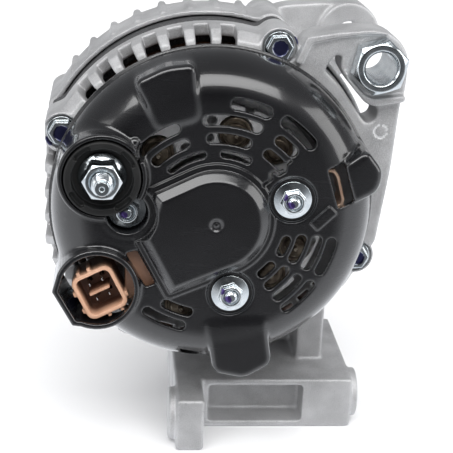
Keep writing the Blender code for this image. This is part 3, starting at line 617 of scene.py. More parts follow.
def add_cover_outside(cover):
    past_rim = COVER_RIM_Y + 9
    cover.add(turned(dome_profile(COVER_R - LIP, COVER_FACE_Y, past_rim)))
    cover.add(turned([(50.0, 24.9), (COVER_R, 24.9), (COVER_R, past_rim), (50.0, past_rim)]))
    for outline in BUMPS:
        cover.add(prism(rounded(outline, 3.4), BUMP_REAR_Y, past_rim, rounding=2.8), blend=1.8)
    cover.add(prism(D_OUTLINE, 4.4, 9.0, rounding=0.6, grow=2.4), blend=0.6)
    cover.add(prism(D_OUTLINE, 0.0, 9.0, rounding=0.5, chamfer=(3.4, 3.0)), blend=0.6)
    cover.cut(rod(COVER_STUDS[2], 11.0, -3.0, COVER_FACE_Y - 0.1), blend=0.6)
    cover.add(rod(B_PLUS, 16.4, 1.0, past_rim, rounding=1.2), blend=2.0)
    cover.add(prism(SHROUD, 2.0, past_rim, rounding=1.2), blend=2.0)


def cut_cover_details(cover):
    for radius, width, start, end in COVER_SLOTS:
        cover.cut(arc_slot(radius, width, start, end, -5.0, 12.0), blend=0.5)
    for outline in COVER_WINDOWS:
        cover.cut(prism(rounded(outline, 0.8), 0.0, 18.0), blend=0.4)
    cover.drill(COVER_STUDS[:2], 8.9, 0.0, 6.6, blend=0.5)
    cover.cut(rod(COVER_STUDS[2], 7.8, -1.0, WELL_FLOOR_Y), blend=0.7)
    cover.drill(COVER_STUDS, 3.0, 0.0, 15.0)
    for stroke in strokes(LATCH_SLIT, 3.0, 9.0, 0.45):
        cover.cut(stroke)


def build_end_cover():
    cover = Solid((-63, -0.5, -65.5), (63, COVER_RIM_Y + 2, 63), 0.42)
    add_cover_outside(cover)
    cover.hollow(COVER_WALL)
    cover.add(rod(B_PLUS, 15.5, 6.5, 9.2))
    cover.add(rod(COVER_STUDS[2], 9.4, 6.0, WELL_FLOOR_Y + 1.8), blend=0.8)
    cover.cut(rod(B_PLUS, 14.5, -2.0, 6.5), blend=0.5)
    cover.cut(rod(B_PLUS, 7.6, -2.0, 33.0))
    cover.cut(prism(SHROUD, -2.0, 33.0, grow=-2.2), blend=0.6)
    cut_cover_details(cover)
    cover.add(block((35.4, 4.4, -0.4), (45.4, 6.8, 4.0), 0.6, radians(-45)), blend=0.4)
    cover.add(ball((-30.4, 5.6, 29.8), 1.7), blend=0.8)
    cover.cut(ball((0.0, -2.6, 0.0), 3.75), blend=0.2)
    cover.add(ball((0.0, 1.7, 0.0), 1.4), blend=0.2)
    cover.keep(half_space(1, COVER_RIM_Y, -1), blend=0.5)
    return cover.to_object("cover_shell", gloss_plastic())


# Fixings and terminal


def threaded(centre, radius, y0, y1, pitch, depth, tip_chamfer=1.0):
    """A screw thread along Y with a chamfered rear end."""
    cx, cz = centre
    middle, half = (y0 + y1) / 2, (y1 - y0) / 2

    def distance(x, y, z):
        turns = (y / pitch + np.arctan2(z - cz, x - cx) / (2 * pi)) % 1.0
        crest = radius - depth * np.abs(2 * turns - 1.0)
        side = (np.hypot(x - cx, z - cz) - crest) * 0.75
        cone = (np.hypot(x - cx, z - cz) - radius + tip_chamfer - (y - y0)) * 0.7
        return np.maximum(smooth_max(side, np.abs(y - middle) - half, 0.1), cone)

    return Shape((cx - radius, y0, cz - radius), (cx + radius, y1, cz + radius), distance)


def nut_crown(centre, across, y0, y1):
    """The outside of a hex nut's chamfered end: a cone that trims its corners, as a turned solid."""
    reach = across / 2 / cos(pi / 6) + 0.3
    cone = [(0, y0), (across * 0.46, y0), (reach, y0 + across * 0.105), (reach, y1), (0, y1)]
    return turned(cone, centre)


def around(centre, reach, y0, y1, cell):
    """An empty grid about a fixing's axis."""
    x, z = centre
    return Solid((x - reach, y0, z - reach), (x + reach, y1, z + reach), cell)


def build_flange_nut(name, node, centre, across, y0, y1, bore, flange_r, flange_h, finish, turn=0.0):
    """A hex flange nut: chamfered hex, conical flange and a countersunk bore."""
    nut = around(centre, flange_r + 0.5, y0, y1, across * 0.018)
    nut.add(prism(hexagon(centre, across, turn), y0, y1 - 0.2, rounding=0.25))
    nut.keep(nut_crown(centre, across, y0, y1), blend=0.15)
    neck_y = y1 - flange_h * 1.25
    rim = [(flange_r, y1), (flange_r, y1 - flange_h * 0.45), (across * 0.52, neck_y)]
    nut.add(turned([(0, y1), *rim, (0, neck_y)], centre, table_step=0.05), blend=0.4)
    sink = [(0, y0 - 2), (bore + 1.9, y0 - 2), (bore, y0 + 0.7), (bore, y1 + 2), (0, y1 + 2)]
    nut.cut(turned(sink, centre, table_step=0.05), blend=0.15)
    stand_in(nut.to_object(name, finish), node)


def build_stud(name, node, centre, radius, y0, y1, pitch, finish, point=None):
    """A threaded stud, with a dog point of (radius, length) at its rear end when one is given."""
    start = y0 - (point[1] if point else 0)
    stud = around(centre, radius + 3, start, y1, 0.15)
    stud.add(threaded(centre, radius, y0, y1, pitch, pitch * 0.5))
    if point:
        stud.add(rod(centre, point[0], start, y0 + 1.5, rounding=0.3), blend=0.2)
        stud.cut(rod(centre, 0.9, start - 1, start + 0.35), blend=0.1)
    stand_in(stud.to_object(name, finish), node)


def build_cover_fixings():
    purple = (0.075, 0.03, 0.23)
    turns = (11.0, 18.0, 26.0)
    for number, (centre, seat, turn) in enumerate(zip(COVER_STUDS, NUT_SEATS_Y, turns), 1):
        x, z = centre
        spots = (((x - 1.0, seat - 5.0, z - 0.4), 1.7), ((x - 3.6, seat - 4.0, z + 2.2), 1.5))
        finish = zinc_steel(f"marked_zinc_{number}", paint=purple, spots=spots)
        nut, stud = f"cover_nut_{number}", f"cover_stud_{number}"
        build_flange_nut(nut + "_look", nut, centre, 8.0, seat - 4.7, seat, 2.6, 7.2, 1.4, finish, turn)
        build_stud(stud + "_look", stud, centre, 2.5, seat - 5.9, 27.2, 0.8, finish)


def build_b_plus():
    insulator = around(B_PLUS, 14.2, 0.0, 20.0, 0.28)
    insulator.add(rod(B_PLUS, 14.0, 0.0, 6.1, rounding=0.8))
    insulator.add(rod(B_PLUS, 7.2, 5.0, 20.0))
    insulator.cut(rod(B_PLUS, 11.3, -1.0, 5.0), blend=0.6)
    insulator.cut(rod(B_PLUS, 4.6, -1.0, 21.0))
    for turn in (40, 128, 220, 310):
        slot = [Vector(polar(12.3, turn + side)) + Vector(B_PLUS) for side in (-13, -6, 0, 6, 13)]
        for stroke in strokes([tuple(point) for point in slot], -1, 2.4, 0.9):
            insulator.cut(stroke, blend=0.2)
    finish = matte_plastic("black_insulator", (0.006, 0.006, 0.006), (0.014, 0.014, 0.014), (0.42, 0.6))
    stand_in(insulator.to_object("b_plus_ring", finish), "b_plus_insulator")
    bright = zinc_steel("bright_zinc")
    build_stud("b_plus_thread", "b_plus_stud", B_PLUS, 4.0, -9.5, 22.0, 1.25, bright, point=(2.7, 2.0))
    build_flange_nut("b_plus_nut_look", "b_plus_nut", B_PLUS, 13.0, -4.0, 4.6, 4.1, 8.9, 2.0, bright)


def along_tilt(across, out, centre=CONNECTOR, tilt=CONNECTOR_TILT):
    """(x, z) of a place given across and along the tilted connector."""
    dx, dz = across * cos(tilt) - out * sin(tilt), across * sin(tilt) + out * cos(tilt)
    return (centre[0] + dx, centre[1] + dz)


KEYS = ((-4.2, 9.6), (0.2, 9.7), (8.6, -5.0), (4.6, -9.6), (-0.6, -9.6), (-8.6, -4.6), (-8.7, 3.0))
PINS = ((-2.6, 3.2), (2.6, 3.2), (-2.6, -3.2), (2.6, -3.2))


def build_regulator():
    body = ((-33.2, -12.0), (-27.6, -11.0), (-20.4, -24.8), (-23.5, -31.0), (-33.0, -34.0))
    regulator = Solid((-56, 4.5, -42), (-19, 22.5, -10), 0.3)
    regulator.add(prism(rounded(body, 1.5), 9.6, 22.0, rounding=0.6))
    shell = rounded_box(CONNECTOR, 8.3, 9.2, 3.2, CONNECTOR_TILT)
    regulator.add(prism(shell, 5.0, 19.0, rounding=0.6))
    for across, out in KEYS:
        kx, kz = along_tilt(across, out)
        key = block((kx - 0.7, 5.6, kz - 1.0), (kx + 0.7, 14.0, kz + 1.0), 0.3, -CONNECTOR_TILT)
        regulator.add(key, blend=0.3)
    cavity = rounded_box(CONNECTOR, 6.7, 7.6, 2.2, CONNECTOR_TILT)
    regulator.cut(prism(cavity, 4.0, 15.0, rounding=0.4), blend=0.5)
    x, z = CONNECTOR
    regulator.add(block((x - 4.2, 7.0, z - 0.55), (x + 4.2, 16.0, z + 0.55), 0.3, -CONNECTOR_TILT))
    for across, out in PINS:
        regulator.cut(rod(along_tilt(across, out), 0.9, 14.0, 18.0))
    for step in range(5):
        spot = Vector((-27.6, -14.2)).lerp(Vector((-21.6, -25.6)), step / 4)
        regulator.add(ball((spot.x - 0.5, 9.6, spot.y), 0.55))
    stand_in(regulator.to_object("regulator_moulding", peach_nylon()), "regulator")
    bright = zinc_steel("pin_tin")
    for number, place in enumerate(PINS, 1):
        cx, cz = along_tilt(*place)
        pin = Solid((cx - 0.8, 8.4, cz - 0.8), (cx + 0.8, 17.6, cz + 0.8), 0.1)
        pin.add(block((cx - 0.25, 8.5, cz - 0.6), (cx + 0.25, 17.5, cz + 0.6), 0.15, -CONNECTOR_TILT))
        stand_in(pin.to_object(f"connector_blade_{number}", bright), f"connector_pin_{number}")


# Rectifier

PLATE_HOLES = (
    (12.1, 40.6), (-11.4, 25.0), (-2.0, 35.8), (-2.9, 29.1), (25.1, 34.5), (33.0, -25.0), (38.0, -11.0),
)

# The phase strip's bend, seen from the rear: it is open towards the rotor axis
STRIP_BEND = (
    (41.6, 19.4), (43.6, 19.3), (45.4, 17.0), (46.7, 12.6), (47.9, 8.2), (47.6, 6.2), (45.6, 5.0),
)


def build_rectifier():
    positive = Solid((-42.5, 15.4, -42.5), (42.5, 18.4, 42.5), 0.35)
    positive.add(arc_slot(33.0, 19.0, -70, 150, 15.4, 18.4, rounding=0.4))
    positive.drill(POSITIVE_DIODES, 6.6, 14.0, 20.0, blend=0.3)
    positive.drill(NEGATIVE_DIODES[:2], 7.2, 14.0, 20.0, blend=0.3)
    positive.drill(PLATE_HOLES, 1.9, 14.0, 20.0, blend=0.3)
    positive.drill(COVER_STUDS, 3.4, 14.0, 20.0)
    pale = cast_alloy("rectifier_alloy", (0.80, 0.80, 0.81), (0.95, 0.95, 0.96), metallic=0.25)
    stand_in(positive.to_object("positive_heat_sink", pale), "rectifier_positive_plate")
    negative = Solid((-44.5, 22.6, -44.5), (44.5, 25.4, 44.5), 0.4)
    negative.add(arc_slot(34.0, 21.0, -130, 150, 22.6, 25.4, rounding=0.4))
    negative.drill(NEGATIVE_DIODES, 6.6, 20.0, 28.0, blend=0.3)
    negative.drill(COVER_STUDS, 3.4, 20.0, 28.0)
    stand_in(negative.to_object("negative_heat_sink", pale), "rectifier_negative_plate")
    build_diodes()
    build_phase_parts()


def build_diodes():
    """Press-fit diodes: a cup with a rolled rim, a stepped neck and a lead."""
    finish = bronze_cap()
    neck = [(0, 9.4), (0.9, 9.4), (0.9, 12.0), (3.6, 12.0), (4.2, 12.6), (4.2, 14.8), (4.9, 14.8)]
    seats = [(centre, 19.6) for centre in POSITIVE_DIODES]
    seats += [(centre, 25.8) for centre in NEGATIVE_DIODES]
    for number, (centre, base) in enumerate(seats, 1):
        diode = around(centre, 6.2, 9.4, base, 0.25)
        profile = [*neck, (4.9, 14.0), (6.0, 14.0), (6.0, base), (0, base)]
        diode.add(turned(profile, centre, table_step=0.05))
        diode.keep(rod(centre, 6.1, 9.0, base + 1, rounding=0.3))
        stand_in(diode.to_object(f"diode_{number}_cup", finish), f"diode_{number}")


def build_phase_parts():
    terminal = Solid((-14, 12.8, 20), (48, 21.2, 54), 0.4)
    terminal.add(arc_slot(49.5, 6.0, 27, 108, 13.0, 21.0, rounding=0.8))
    for angle in range(36, 104, 10):
        terminal.cut(rod(polar(49.5, angle), 1.6, 12.0, 15.0), blend=0.3)
    terminal.keep(half_space(1, 21.0, -1))
    black = matte_plastic("black_moulding", (0.010, 0.010, 0.010), (0.022, 0.022, 0.022))
    stand_in(terminal.to_object("terminal_moulding", black), "terminal_block")
    strip = Solid((40.8, 8.4, 4.2), (48.8, 21.6, 20.2), 0.2)
    for stroke in strokes(STRIP_BEND, 8.6, 21.4, 0.6, rounding=0.3):
        strip.add(stroke, blend=0.2)
    tinned = enamel_copper("tinned_copper", (0.42, 0.24, 0.16), (0.75, 0.55, 0.42))
    stand_in(strip.to_object("phase_strip", tinned), "phase_lead")


# Housing castings

EAR_PLATE = (
    (29.5, 55.7), (33.4, 65.6), (44.8, 67.6), (58.0, 69.0), (64.0, 68.0), (69.0, 65.0), (72.6, 59.6),
    (73.0, 53.0), (72.7, 45.3), (71.3, 41.0), (69.8, 14.0), (66.0, -18.0), (58.0, -20.0), (50.0, 10.0),
)
EAR_RIM = (
    (29.5, 55.7), (33.4, 65.6), (44.8, 67.6), (58.0, 69.0), (64.0, 68.0), (63.8, 67.2), (56.0, 67.3),
    (45.0, 65.6), (35.2, 63.2), (32.0, 55.0),
)
NUT_CATCH = (
    (46.4, 53.0), (47.6, 49.0), (55.4, 41.0), (59.6, 39.8), (72.2, 42.2), (72.0, 44.8), (60.4, 43.2),
    (57.2, 43.9), (49.8, 51.0), (49.2, 53.4),
)
EAR_GAP = (
    (44.5, 58.6), (47.2, 58.6), (47.4, 53.2), (51.1, 47.6), (57.0, 41.2), (62.1, 39.2), (62.4, 34.6),
    (59.8, 32.6), (57.6, 33.4), (48.0, 46.6), (41.0, 53.0),
)


PAINT_BLOBS = (((-62.1, 31.0, 22.8), 2.2), ((28.5, 29.6, 63.3), 2.2))


def clear_of_bolts(angle, margin):
    for x, z in THROUGH_BOLTS:
        away = Vector(polar(hypot(x, z), angle)) - Vector((x, z))
        if away.length < margin:
            return False
    return True


def radial_window(angle, half, inner, outer, y0, y1):
    """A window with straight sides, cut along a radius."""
    side = Vector(polar(half, angle + 90))
    start, end = Vector(polar(inner, angle)), Vector(polar(outer, angle))
    corners = (start - side, end - side, end + side, start + side)
    return prism([tuple(corner) for corner in corners], y0, y1)


def add_rear_ears(bracket):
    bracket.add(prism(rounded(EAR_PLATE, 4.0), 28.6, 45.5, rounding=1.2), blend=1.5)
    bracket.add(prism(rounded(EAR_RIM, 0.8), 26.8, 30.0, rounding=0.7), blend=0.8)
    bracket.add(prism(rounded(NUT_CATCH, 1.6), 24.6, 30.0, rounding=1.0), blend=0.9)


def build_rear_bracket():
    bracket = Solid((-64.5, 24.4, -67.5), (73.2, 50.2, 69.4), 0.5)
    outside = [(0, 28.0), (57.0, 28.0), (63.5, 29.6), (BODY_R, 34.0), (BODY_R, 50.0), (0, 50.0)]
    bracket.add(turned(outside))
    for centre in THROUGH_BOLTS:
        bracket.add(rod(centre, 7.4, 30.0, 50.0, rounding=1.0), blend=2.0)
    add_rear_ears(bracket)
    inside = [
        (0, 20.0), (11.0, 20.0), (11.0, 30.6), (17.8, 30.6), (17.8, 43.0), (22.0, 43.0), (22.0, 31.4),
        (57.0, 31.4), (62.0, 36.0), (62.0, 54.0), (0, 54.0),
    ]
    bracket.cut(turned(inside), blend=0.5)
    for step in range(32):
        angle = 86.0 + step * 8.8
        if clear_of_bolts(angle, 10.4) and not 332 < angle % 360:
            bracket.cut(radial_window(angle, 2.9, 54.0, 70.0, 20.0, 44.0), blend=0.7)
    bracket.cut(prism(rounded(EAR_GAP, 1.8), 20.0, 50.0), blend=1.2)
    bracket.cut(rod(EAR, 8.6, 20.0, 52.0), blend=0.5)
    for centre in THROUGH_BOLTS:
        bracket.cut(rod(centre, 6.6, 20.0, 32.0), blend=0.5)
        bracket.cut(rod(centre, 3.5, 20.0, 54.0))
    bracket.drill(COVER_STUDS, 2.9, 20.0, 27.9)
    ejector_mark = [(2.1, 26.0), (2.1, 28.9), (2.7, 28.9), (2.7, 26.0)]
    bracket.cut(turned(ejector_mark, (64.6, 29.6)), blend=0.2)
    bracket.keep(half_space(0, -FLAT_X, 1), blend=0.8)
    bracket.keep(half_space(1, 50.0, -1), blend=0.3)
    return bracket.to_object("rear_casting", cast_alloy(spots=PAINT_BLOBS))


def foot_shapes():
    """The blocks that make the lower mounting foot: sleeve, end block, arm and web."""
    return (
        block((-1.0, 30.0, -99.0), (62.5, 94.0, -77.5), 1.2),
        block((-11.6, 10.0, -99.3), (-0.5, 93.4, -77.2), 1.4),
        block((41.0, 50.4, -79.0), (52.2, 90.0, -40.0), 1.2),
        block((-10.8, 70.0, -79.0), (46.0, 92.9, -50.0), 1.5),
    )


def build_front_bracket():
    bracket = Solid((-64.5, 9.8, -99.6), (73.8, 112.2, 69.2), 0.62)
    outside = [
        (0, 60.0), (BODY_R + 2.0, 60.0), (BODY_R + 2.0, 84.0), (66.0, 93.0), (58.0, 97.0), (27.0, 97.0),
        (27.0, 111.0), (0, 111.0),
    ]
    bracket.add(turned(outside))
    for centre in THROUGH_BOLTS:
        bracket.add(rod(centre, 7.4, 61.0, 99.0, rounding=1.2), blend=2.0)
    for angle in range(79, 150, 9):
        bracket.add(rod(polar(BODY_R + 1.4, angle), 1.7, 64.0, 90.0, rounding=1.0), blend=1.0)
    arm = (
        (19.9, 62.0), (33.0, 67.0), (52.5, 68.6), (66.5, 67.4), (73.6, 58.0), (70.0, 46.0), (58.0, 36.0),
        (48.0, 40.0),
    )
    bracket.add(prism(rounded(arm, 4.0), 92.0, 104.0, rounding=1.4), blend=2.0)
    bracket.add(rod(EAR, 13.0, 90.0, 112.0, rounding=1.0), blend=2.0)
    for shape in foot_shapes():
        bracket.add(shape, blend=2.0)
    bracket.add(cross_rod((22.0, -88.2), 10.4, -14.4, -10.0, rounding=0.9), blend=1.0)
    bracket.add(cross_rod((41.0, -88.2), 10.2, 60.0, 65.4, rounding=0.9), blend=1.0)
    cut_front_bracket(bracket)
    return bracket.to_object("front_casting", cast_alloy("front_cast_alloy"))


def cut_front_bracket(bracket):
    bracket.cut(block((2.5, 20.0, -96.5), (41.8, 42.0, -80.2), 1.6), blend=0.9)
    inside = [
        (0, 0.0), (BODY_R + 0.1, 0.0), (BODY_R + 0.1, 88.4), (62.0, 92.6), (23.9, 92.6), (23.9, 107.6),
        (12.5, 107.6), (12.5, 115.0), (0, 115.0),
    ]
    bracket.cut(turned(inside), blend=0.4)
    bracket.cut(rod(EAR, 5.2, 80.0, 120.0), blend=0.6)
    bracket.drill(THROUGH_BOLTS, 3.4, 55.0, 96.6)
    for step in range(20):
        angle = 9.0 + step * 18.0
        if clear_of_bolts(angle, 12.4) and not 25 < angle % 360 < 60 and not 262 < angle % 360 < 320:
            bracket.cut(arc_slot(50.0, 17.0, angle - 14.0, angle + 14.0, 90.0, 100.0), blend=0.8)
    bracket.keep(half_space(0, -FLAT_X, 1), blend=0.8)


def build_stator():
    rear, front = STATOR_Y
    core = Solid((-62.5, rear, -67.5), (67.5, 88.2, 67.0), 0.6)
    sides = [(STATOR_BORE_R, rear), (STATOR_BORE_R, front), (STATOR_R, front), (STATOR_R, rear)]
    core.add(turned(sides))
    for centre in THROUGH_BOLTS:
        core.add(rod(centre, 6.6, rear, 59.7, rounding=0.8), blend=2.5)
        core.cut(rod(centre, 3.5, 40.0, 95.0))
    core.cut(turned([(66.2, 50.0), (66.2, 50.9), (70.0, 50.9), (70.0, 50.0)]), blend=0.3)
    core.keep(half_space(0, -FLAT_X + 2.0, 1))
    core.keep(half_space(1, rear, 1))
    stand_in(core.to_object("stator_stack", laminations()), "stator_core")
    copper = enamel_copper("winding_copper", (0.010, 0.006, 0.005), (0.075, 0.032, 0.018))
    for name, node, y0, y1 in (
        ("winding_rear", "stator_winding_rear", 34.5, 49.9),
        ("winding_front", "stator_winding_front", 88.4, 92.2),
    ):
        build_winding(name, node, y0, y1, copper)


def build_winding(name, node, y0, y1, finish, slots=36, inner=50.6, outer=59.4):
    """A crown of end turns, with the bundles of each slot showing as rounded ridges."""
    middle_r, half_r = (inner + outer) / 2, (outer - inner) / 2
    middle_y, half_y = (y0 + y1) / 2, (y1 - y0) / 2

    def distance(x, y, z):
        angle = np.arctan2(z, x)
        ridge = 0.55 * np.abs(np.sin(angle * slots / 2 + y * 0.35))
        strand = 0.18 * np.sin(y * 4.2 + np.sin(angle * slots) * 1.5)
        side = np.abs(np.hypot(x, z) - middle_r) - half_r + 0.75 - ridge - strand
        return smooth_max(side, np.abs(y - middle_y) - half_y + 0.6 - ridge, 2.0) * 0.8

    crown = Solid((-outer, y0, -outer), (outer, y1, outer), 0.5)
    crown.add(Shape((-outer, y0, -outer), (outer, y1, outer), distance))
    stand_in(crown.to_object(name, finish), node)


def build_through_bolts():
    rear = BOLT_SEAT_Y - 4.6
    dish = [(0, rear - 1), (2.8, rear - 1), (2.8, rear + 0.5), (0, rear + 0.5)]
    for number, (centre, turn) in enumerate(zip(THROUGH_BOLTS, (0.6, 4.9, 2.6, -4.6)), 1):
        finish = zinc_steel(f"bolt_zinc_{number}", spots=(((centre[0], rear, centre[1]), 3.4),))
        bolt = around(centre, 6.0, rear, 96.0, 0.22)
        bolt.add(rod(centre, 3.0, BOLT_SEAT_Y - 2, 96.0, rounding=0.3))
        outline = hexagon(centre, 10.0 * cos(pi / 6), turn)
        bolt.add(prism(outline, rear, BOLT_SEAT_Y - 0.6, rounding=0.3))
        bolt.add(rod(centre, 5.8, BOLT_SEAT_Y - 1.4, BOLT_SEAT_Y, rounding=0.3), blend=0.3)
        bolt.cut(turned(dish, centre), blend=0.3)
        stand_in(bolt.to_object(f"through_bolt_{number}_look", finish), f"through_bolt_{number}")


def build_ear_sleeve():
    sleeve = around(EAR, 11.2, 19.9, 50.1, 0.28)
    sleeve.add(prism(hexagon(EAR, 19.0, 77.0), 20.0, 28.2, rounding=0.4))
    sleeve.keep(nut_crown(EAR, 19.0, 20.0, 60.0), blend=0.2)
    sleeve.add(rod(EAR, 8.2, 27.0, 50.0, rounding=0.3))
    sink = [(0, 18.0), (7.0, 18.0), (7.0, 19.9), (6.0, 21.0), (6.0, 52.0), (0, 52.0)]
    sleeve.cut(turned(sink, EAR, table_step=0.05), blend=0.2)
    piece = sleeve.to_object("ear_sleeve_look", zinc_steel("sleeve_zinc"))
    stand_in(piece, "ear_sleeve_nut", "sleeve_nut")


def build_drive_end():
    profile = [(7.3, 137.0), (7.3, 113.0), (27.0, 113.0), (28.5, 114.5)]
    for number in range(6):
        groove = 116.0 + 3.4 * number
        profile += [(28.5, groove), (26.0, groove + 1.3), (26.0, groove + 1.7), (28.5, groove + 3.0)]
    profile += [(28.5, 137.4), (27.5, 138.4), (24.0, 138.4), (24.0, 131.0), (14.0, 131.0), (14.0, 137.0)]
    pulley = Solid((-28.6, 113, -28.6), (28.6, 138.4, 28.6), 0.32)
    pulley.add(turned(profile, table_step=0.08))
    pulley.keep(rod((0, 0), 28.5, 113.0, 138.4, rounding=0.6))
    black_steel = plain_steel("pulley_steel", (0.06, 0.06, 0.065), (0.16, 0.16, 0.17))
    stand_in(pulley.to_object("pulley_look", black_steel), "pulley", "rotor")
    nut = Solid((-12.8, 137.2, -12.8), (12.8, 144.6, 12.8), 0.26)
    nut.add(prism(hexagon((0, 0), 22.0), 137.3, 144.5, rounding=0.4))
    nut.cut(rod((0, 0), 7.3, 130.0, 150.0), blend=0.8)
    stand_in(nut.to_object("pulley_nut_look", zinc_steel("pulley_nut_zinc")), "pulley_nut", "rotor")


BRUSH_ANGLE = radians(207)
BRUSH_LEVELS = (11.7, 18.7)
SPRING_START, SPRING_END = 17.7, 20.4
SPRING_TURNS = 4
SPRING_R = 1.5
WIRE_R = 0.28


def coil(level):
    """A round-wire coil behind a brush, along the brush's own direction."""
    pitch = (SPRING_END - SPRING_START) / SPRING_TURNS

    def distance(x, y, z):
        out = x * cos(BRUSH_ANGLE) + z * sin(BRUSH_ANGLE)
        side, up = z * cos(BRUSH_ANGLE) - x * sin(BRUSH_ANGLE), y - level
        turns = (out - SPRING_START) / pitch - 0.5 - np.arctan2(up, side) / (2 * pi)
        along = (turns - np.clip(np.round(turns), 0, SPRING_TURNS - 1)) * pitch
        return np.hypot(np.hypot(side, up) - SPRING_R, along) - WIRE_R

    reach = SPRING_R + 2 * WIRE_R
    ends = [(out * cos(BRUSH_ANGLE), out * sin(BRUSH_ANGLE)) for out in (SPRING_START, SPRING_END)]
    low = (ends[1][0] - reach, level - reach, ends[1][1] - reach)
    return Shape(low, (ends[0][0] + reach, level + reach, ends[0][1] + reach), distance)


def build_brush_springs():
    """A coil of round wire for each brush, between fixed ends along the brush's own direction."""
    steel = plain_steel("spring_steel")
    for number, level in enumerate(BRUSH_LEVELS, 1):
        shape = coil(level)
        spring = Solid(shape.low, shape.high, 0.1)
        spring.add(shape)
        piece = spring.to_object(f"brush_spring_{number}_coil", steel)
        stand_in(piece, f"brush_spring_{number}")
        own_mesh(piece)


def dress_cad_nodes():
    """Finishes for the inner parts, which stay as the CAD made them with softened edges."""
    steel = plain_steel()
    copper = enamel_copper()
    carbon = matte_plastic("carbon", (0.012, 0.012, 0.013), (0.035, 0.035, 0.037))
    black = matte_plastic("holder_black", (0.010, 0.010, 0.010), (0.02, 0.02, 0.02))
    choices = (
        (steel, ("shaft", "claw_pole", "rear_fan", "front_fan", "bearing")),
        (copper, ("slip_ring", "field_coil")),
        (carbon, ("brush_1", "brush_2")),
        (black, ("brush_holder", "coil_bobbin")),
    )
    for name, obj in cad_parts.items():
        for finish, starts in choices:
            if any(start in name for start in starts):
                obj.data.materials.clear()
                obj.data.materials.append(finish)
                soften(obj)


def soften(obj):
    edge = obj.modifiers.new("soft_edges", "BEVEL")
    edge.width = 0.15 * MM
    edge.segments = 2
    edge.limit_method = "ANGLE"
    edge.angle_limit = radians(40)


# Studio

FLOOR_HALF = 12.0
LENS_MM = 98.5
CAMERA_PLACE = (-39.4, -427.5, 150.9)
CAMERA_FORWARD = (0.0945, 0.9387, -0.3315)
CAMERA_RIGHT = (0.9954, -0.0844, 0.0447)


def build_floor():
    lowest = CAD_BOUNDS[0][2]
    mesh = bpy.data.meshes.new("floor")
    corners = ((-1, -1), (1, -1), (1, 1), (-1, 1))
    places = [(x * FLOOR_HALF, y * FLOOR_HALF, lowest) for x, y in corners]
    mesh.from_pydata(places, [], [(0, 1, 2, 3)])
    finish = Finish("pale_floor", specular=0.1)
    cloud = finish.noise(3.0, 2.0)
    tone = finish.mix(cloud, (0.93, 0.93, 0.935), (0.955, 0.955, 0.96))
    relief = finish.bump(cloud, 0.0001, 0.05)
    mesh.materials.append(finish.done(tone, finish.spread(cloud, 0, 1, 0.8, 0.9), relief))
    floor = bpy.data.objects.new("floor", mesh)
    floor.visible_glossy = False
    linked(floor)
    floor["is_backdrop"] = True


def softbox(name, place, target, width, height, radiance):
    """A rectangular area light of a given radiance, facing a target, in metres."""
    data = bpy.data.lights.new(name, "AREA")
    data.shape = "RECTANGLE"
    data.size, data.size_y = width, height
    data.energy = radiance * pi * width * height
    light = bpy.data.objects.new(name, data)
    light.location = place
    light.rotation_euler = (Vector(target) - Vector(place)).to_track_quat("-Z", "Y").to_euler()
    return linked(light)


def build_lights():
    middle = (0.0, 0.03, -0.01)
    softbox("top_box", (-0.10, -0.72, 1.05), middle, 1.9, 0.62, 4.2)
    softbox("right_box", (1.15, -0.35, 0.40), middle, 0.7, 0.75, 2.6)
    softbox("left_box", (-1.15, -0.45, 0.30), middle, 0.6, 0.7, 1.6)
    back_box = softbox("back_box", (0.0, 1.2, 0.75), middle, 1.6, 0.6, 2.0)
    back_box.visible_glossy = False
    sun_data = bpy.data.lights.new("overhead", "SUN")
    sun_data.energy = 1.5
    sun_data.angle = radians(100)
    sun = bpy.data.objects.new("overhead", sun_data)
    sun.rotation_euler = (radians(12), radians(-6), 0)
    sun.visible_glossy = False
    linked(sun)
    build_surroundings()


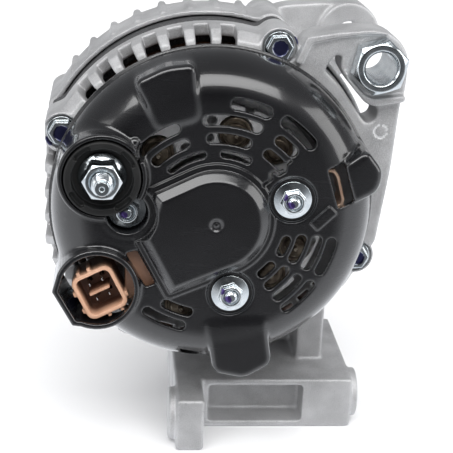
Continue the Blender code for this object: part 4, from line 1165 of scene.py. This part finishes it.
def build_surroundings():
    """A room pale low down, and dark overhead and in front so that flat black faces stay black."""
    world = bpy.data.worlds.new("studio")
    bpy.context.scene.world = world
    world.use_nodes = True
    nodes, links = world.node_tree.nodes, world.node_tree.links
    split = nodes.new("ShaderNodeSeparateXYZ")
    links.new(nodes.new("ShaderNodeTexCoord").outputs["Generated"], split.inputs[0])
    strength = nodes.new("ShaderNodeMath")
    strength.operation = "MULTIPLY"
    ranges = (("Y", (-0.95, -0.60, 0.10, 1.05)), ("Z", (-0.25, 0.20, 1.0, 0.25)))
    for number, (axis, values) in enumerate(ranges):
        fall = nodes.new("ShaderNodeMapRange")
        links.new(split.outputs[axis], fall.inputs["Value"])
        for socket, value in zip((1, 2, 3, 4), values):
            fall.inputs[socket].default_value = value
        links.new(fall.outputs[0], strength.inputs[number])
    back = nodes["Background"]
    back.inputs["Color"].default_value = (0.94, 0.96, 1.0, 1.0)
    links.new(strength.outputs[0], back.inputs["Strength"])


def build_camera():
    """The photograph's view from behind, a little above and to the left of the axis."""
    data = bpy.data.cameras.new("camera")
    data.lens = LENS_MM
    data.clip_end = 40.0
    camera = bpy.data.objects.new("camera", data)
    forward = Vector(CAMERA_FORWARD).normalized()
    right = Vector(CAMERA_RIGHT).normalized()
    up = right.cross(forward).normalized()
    right = forward.cross(up)
    turn = Matrix((right, up, -forward)).transposed()
    camera.matrix_world = Matrix.Translation(Vector(CAMERA_PLACE) * MM) @ turn.to_4x4()
    linked(camera)
    bpy.context.scene.camera = camera


def build_alternator():
    for build, node in (
        (build_end_cover, "end_cover"),
        (build_rear_bracket, "rear_bracket"),
        (build_front_bracket, "front_bracket"),
    ):
        piece = build()
        stand_in(piece, node)
    build_cover_fixings()
    build_b_plus()
    build_regulator()
    build_rectifier()
    build_stator()
    build_through_bolts()
    build_ear_sleeve()
    build_drive_end()
    build_brush_springs()
    dress_cad_nodes()


build_alternator()
build_floor()
build_lights()
build_camera()
bpy.context.scene.view_settings.view_transform = "Standard"
boxes = {"cad": CAD_BOUNDS, "visual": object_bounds()}
{name: [list(corner) for corner in box] for name, box in boxes.items()}
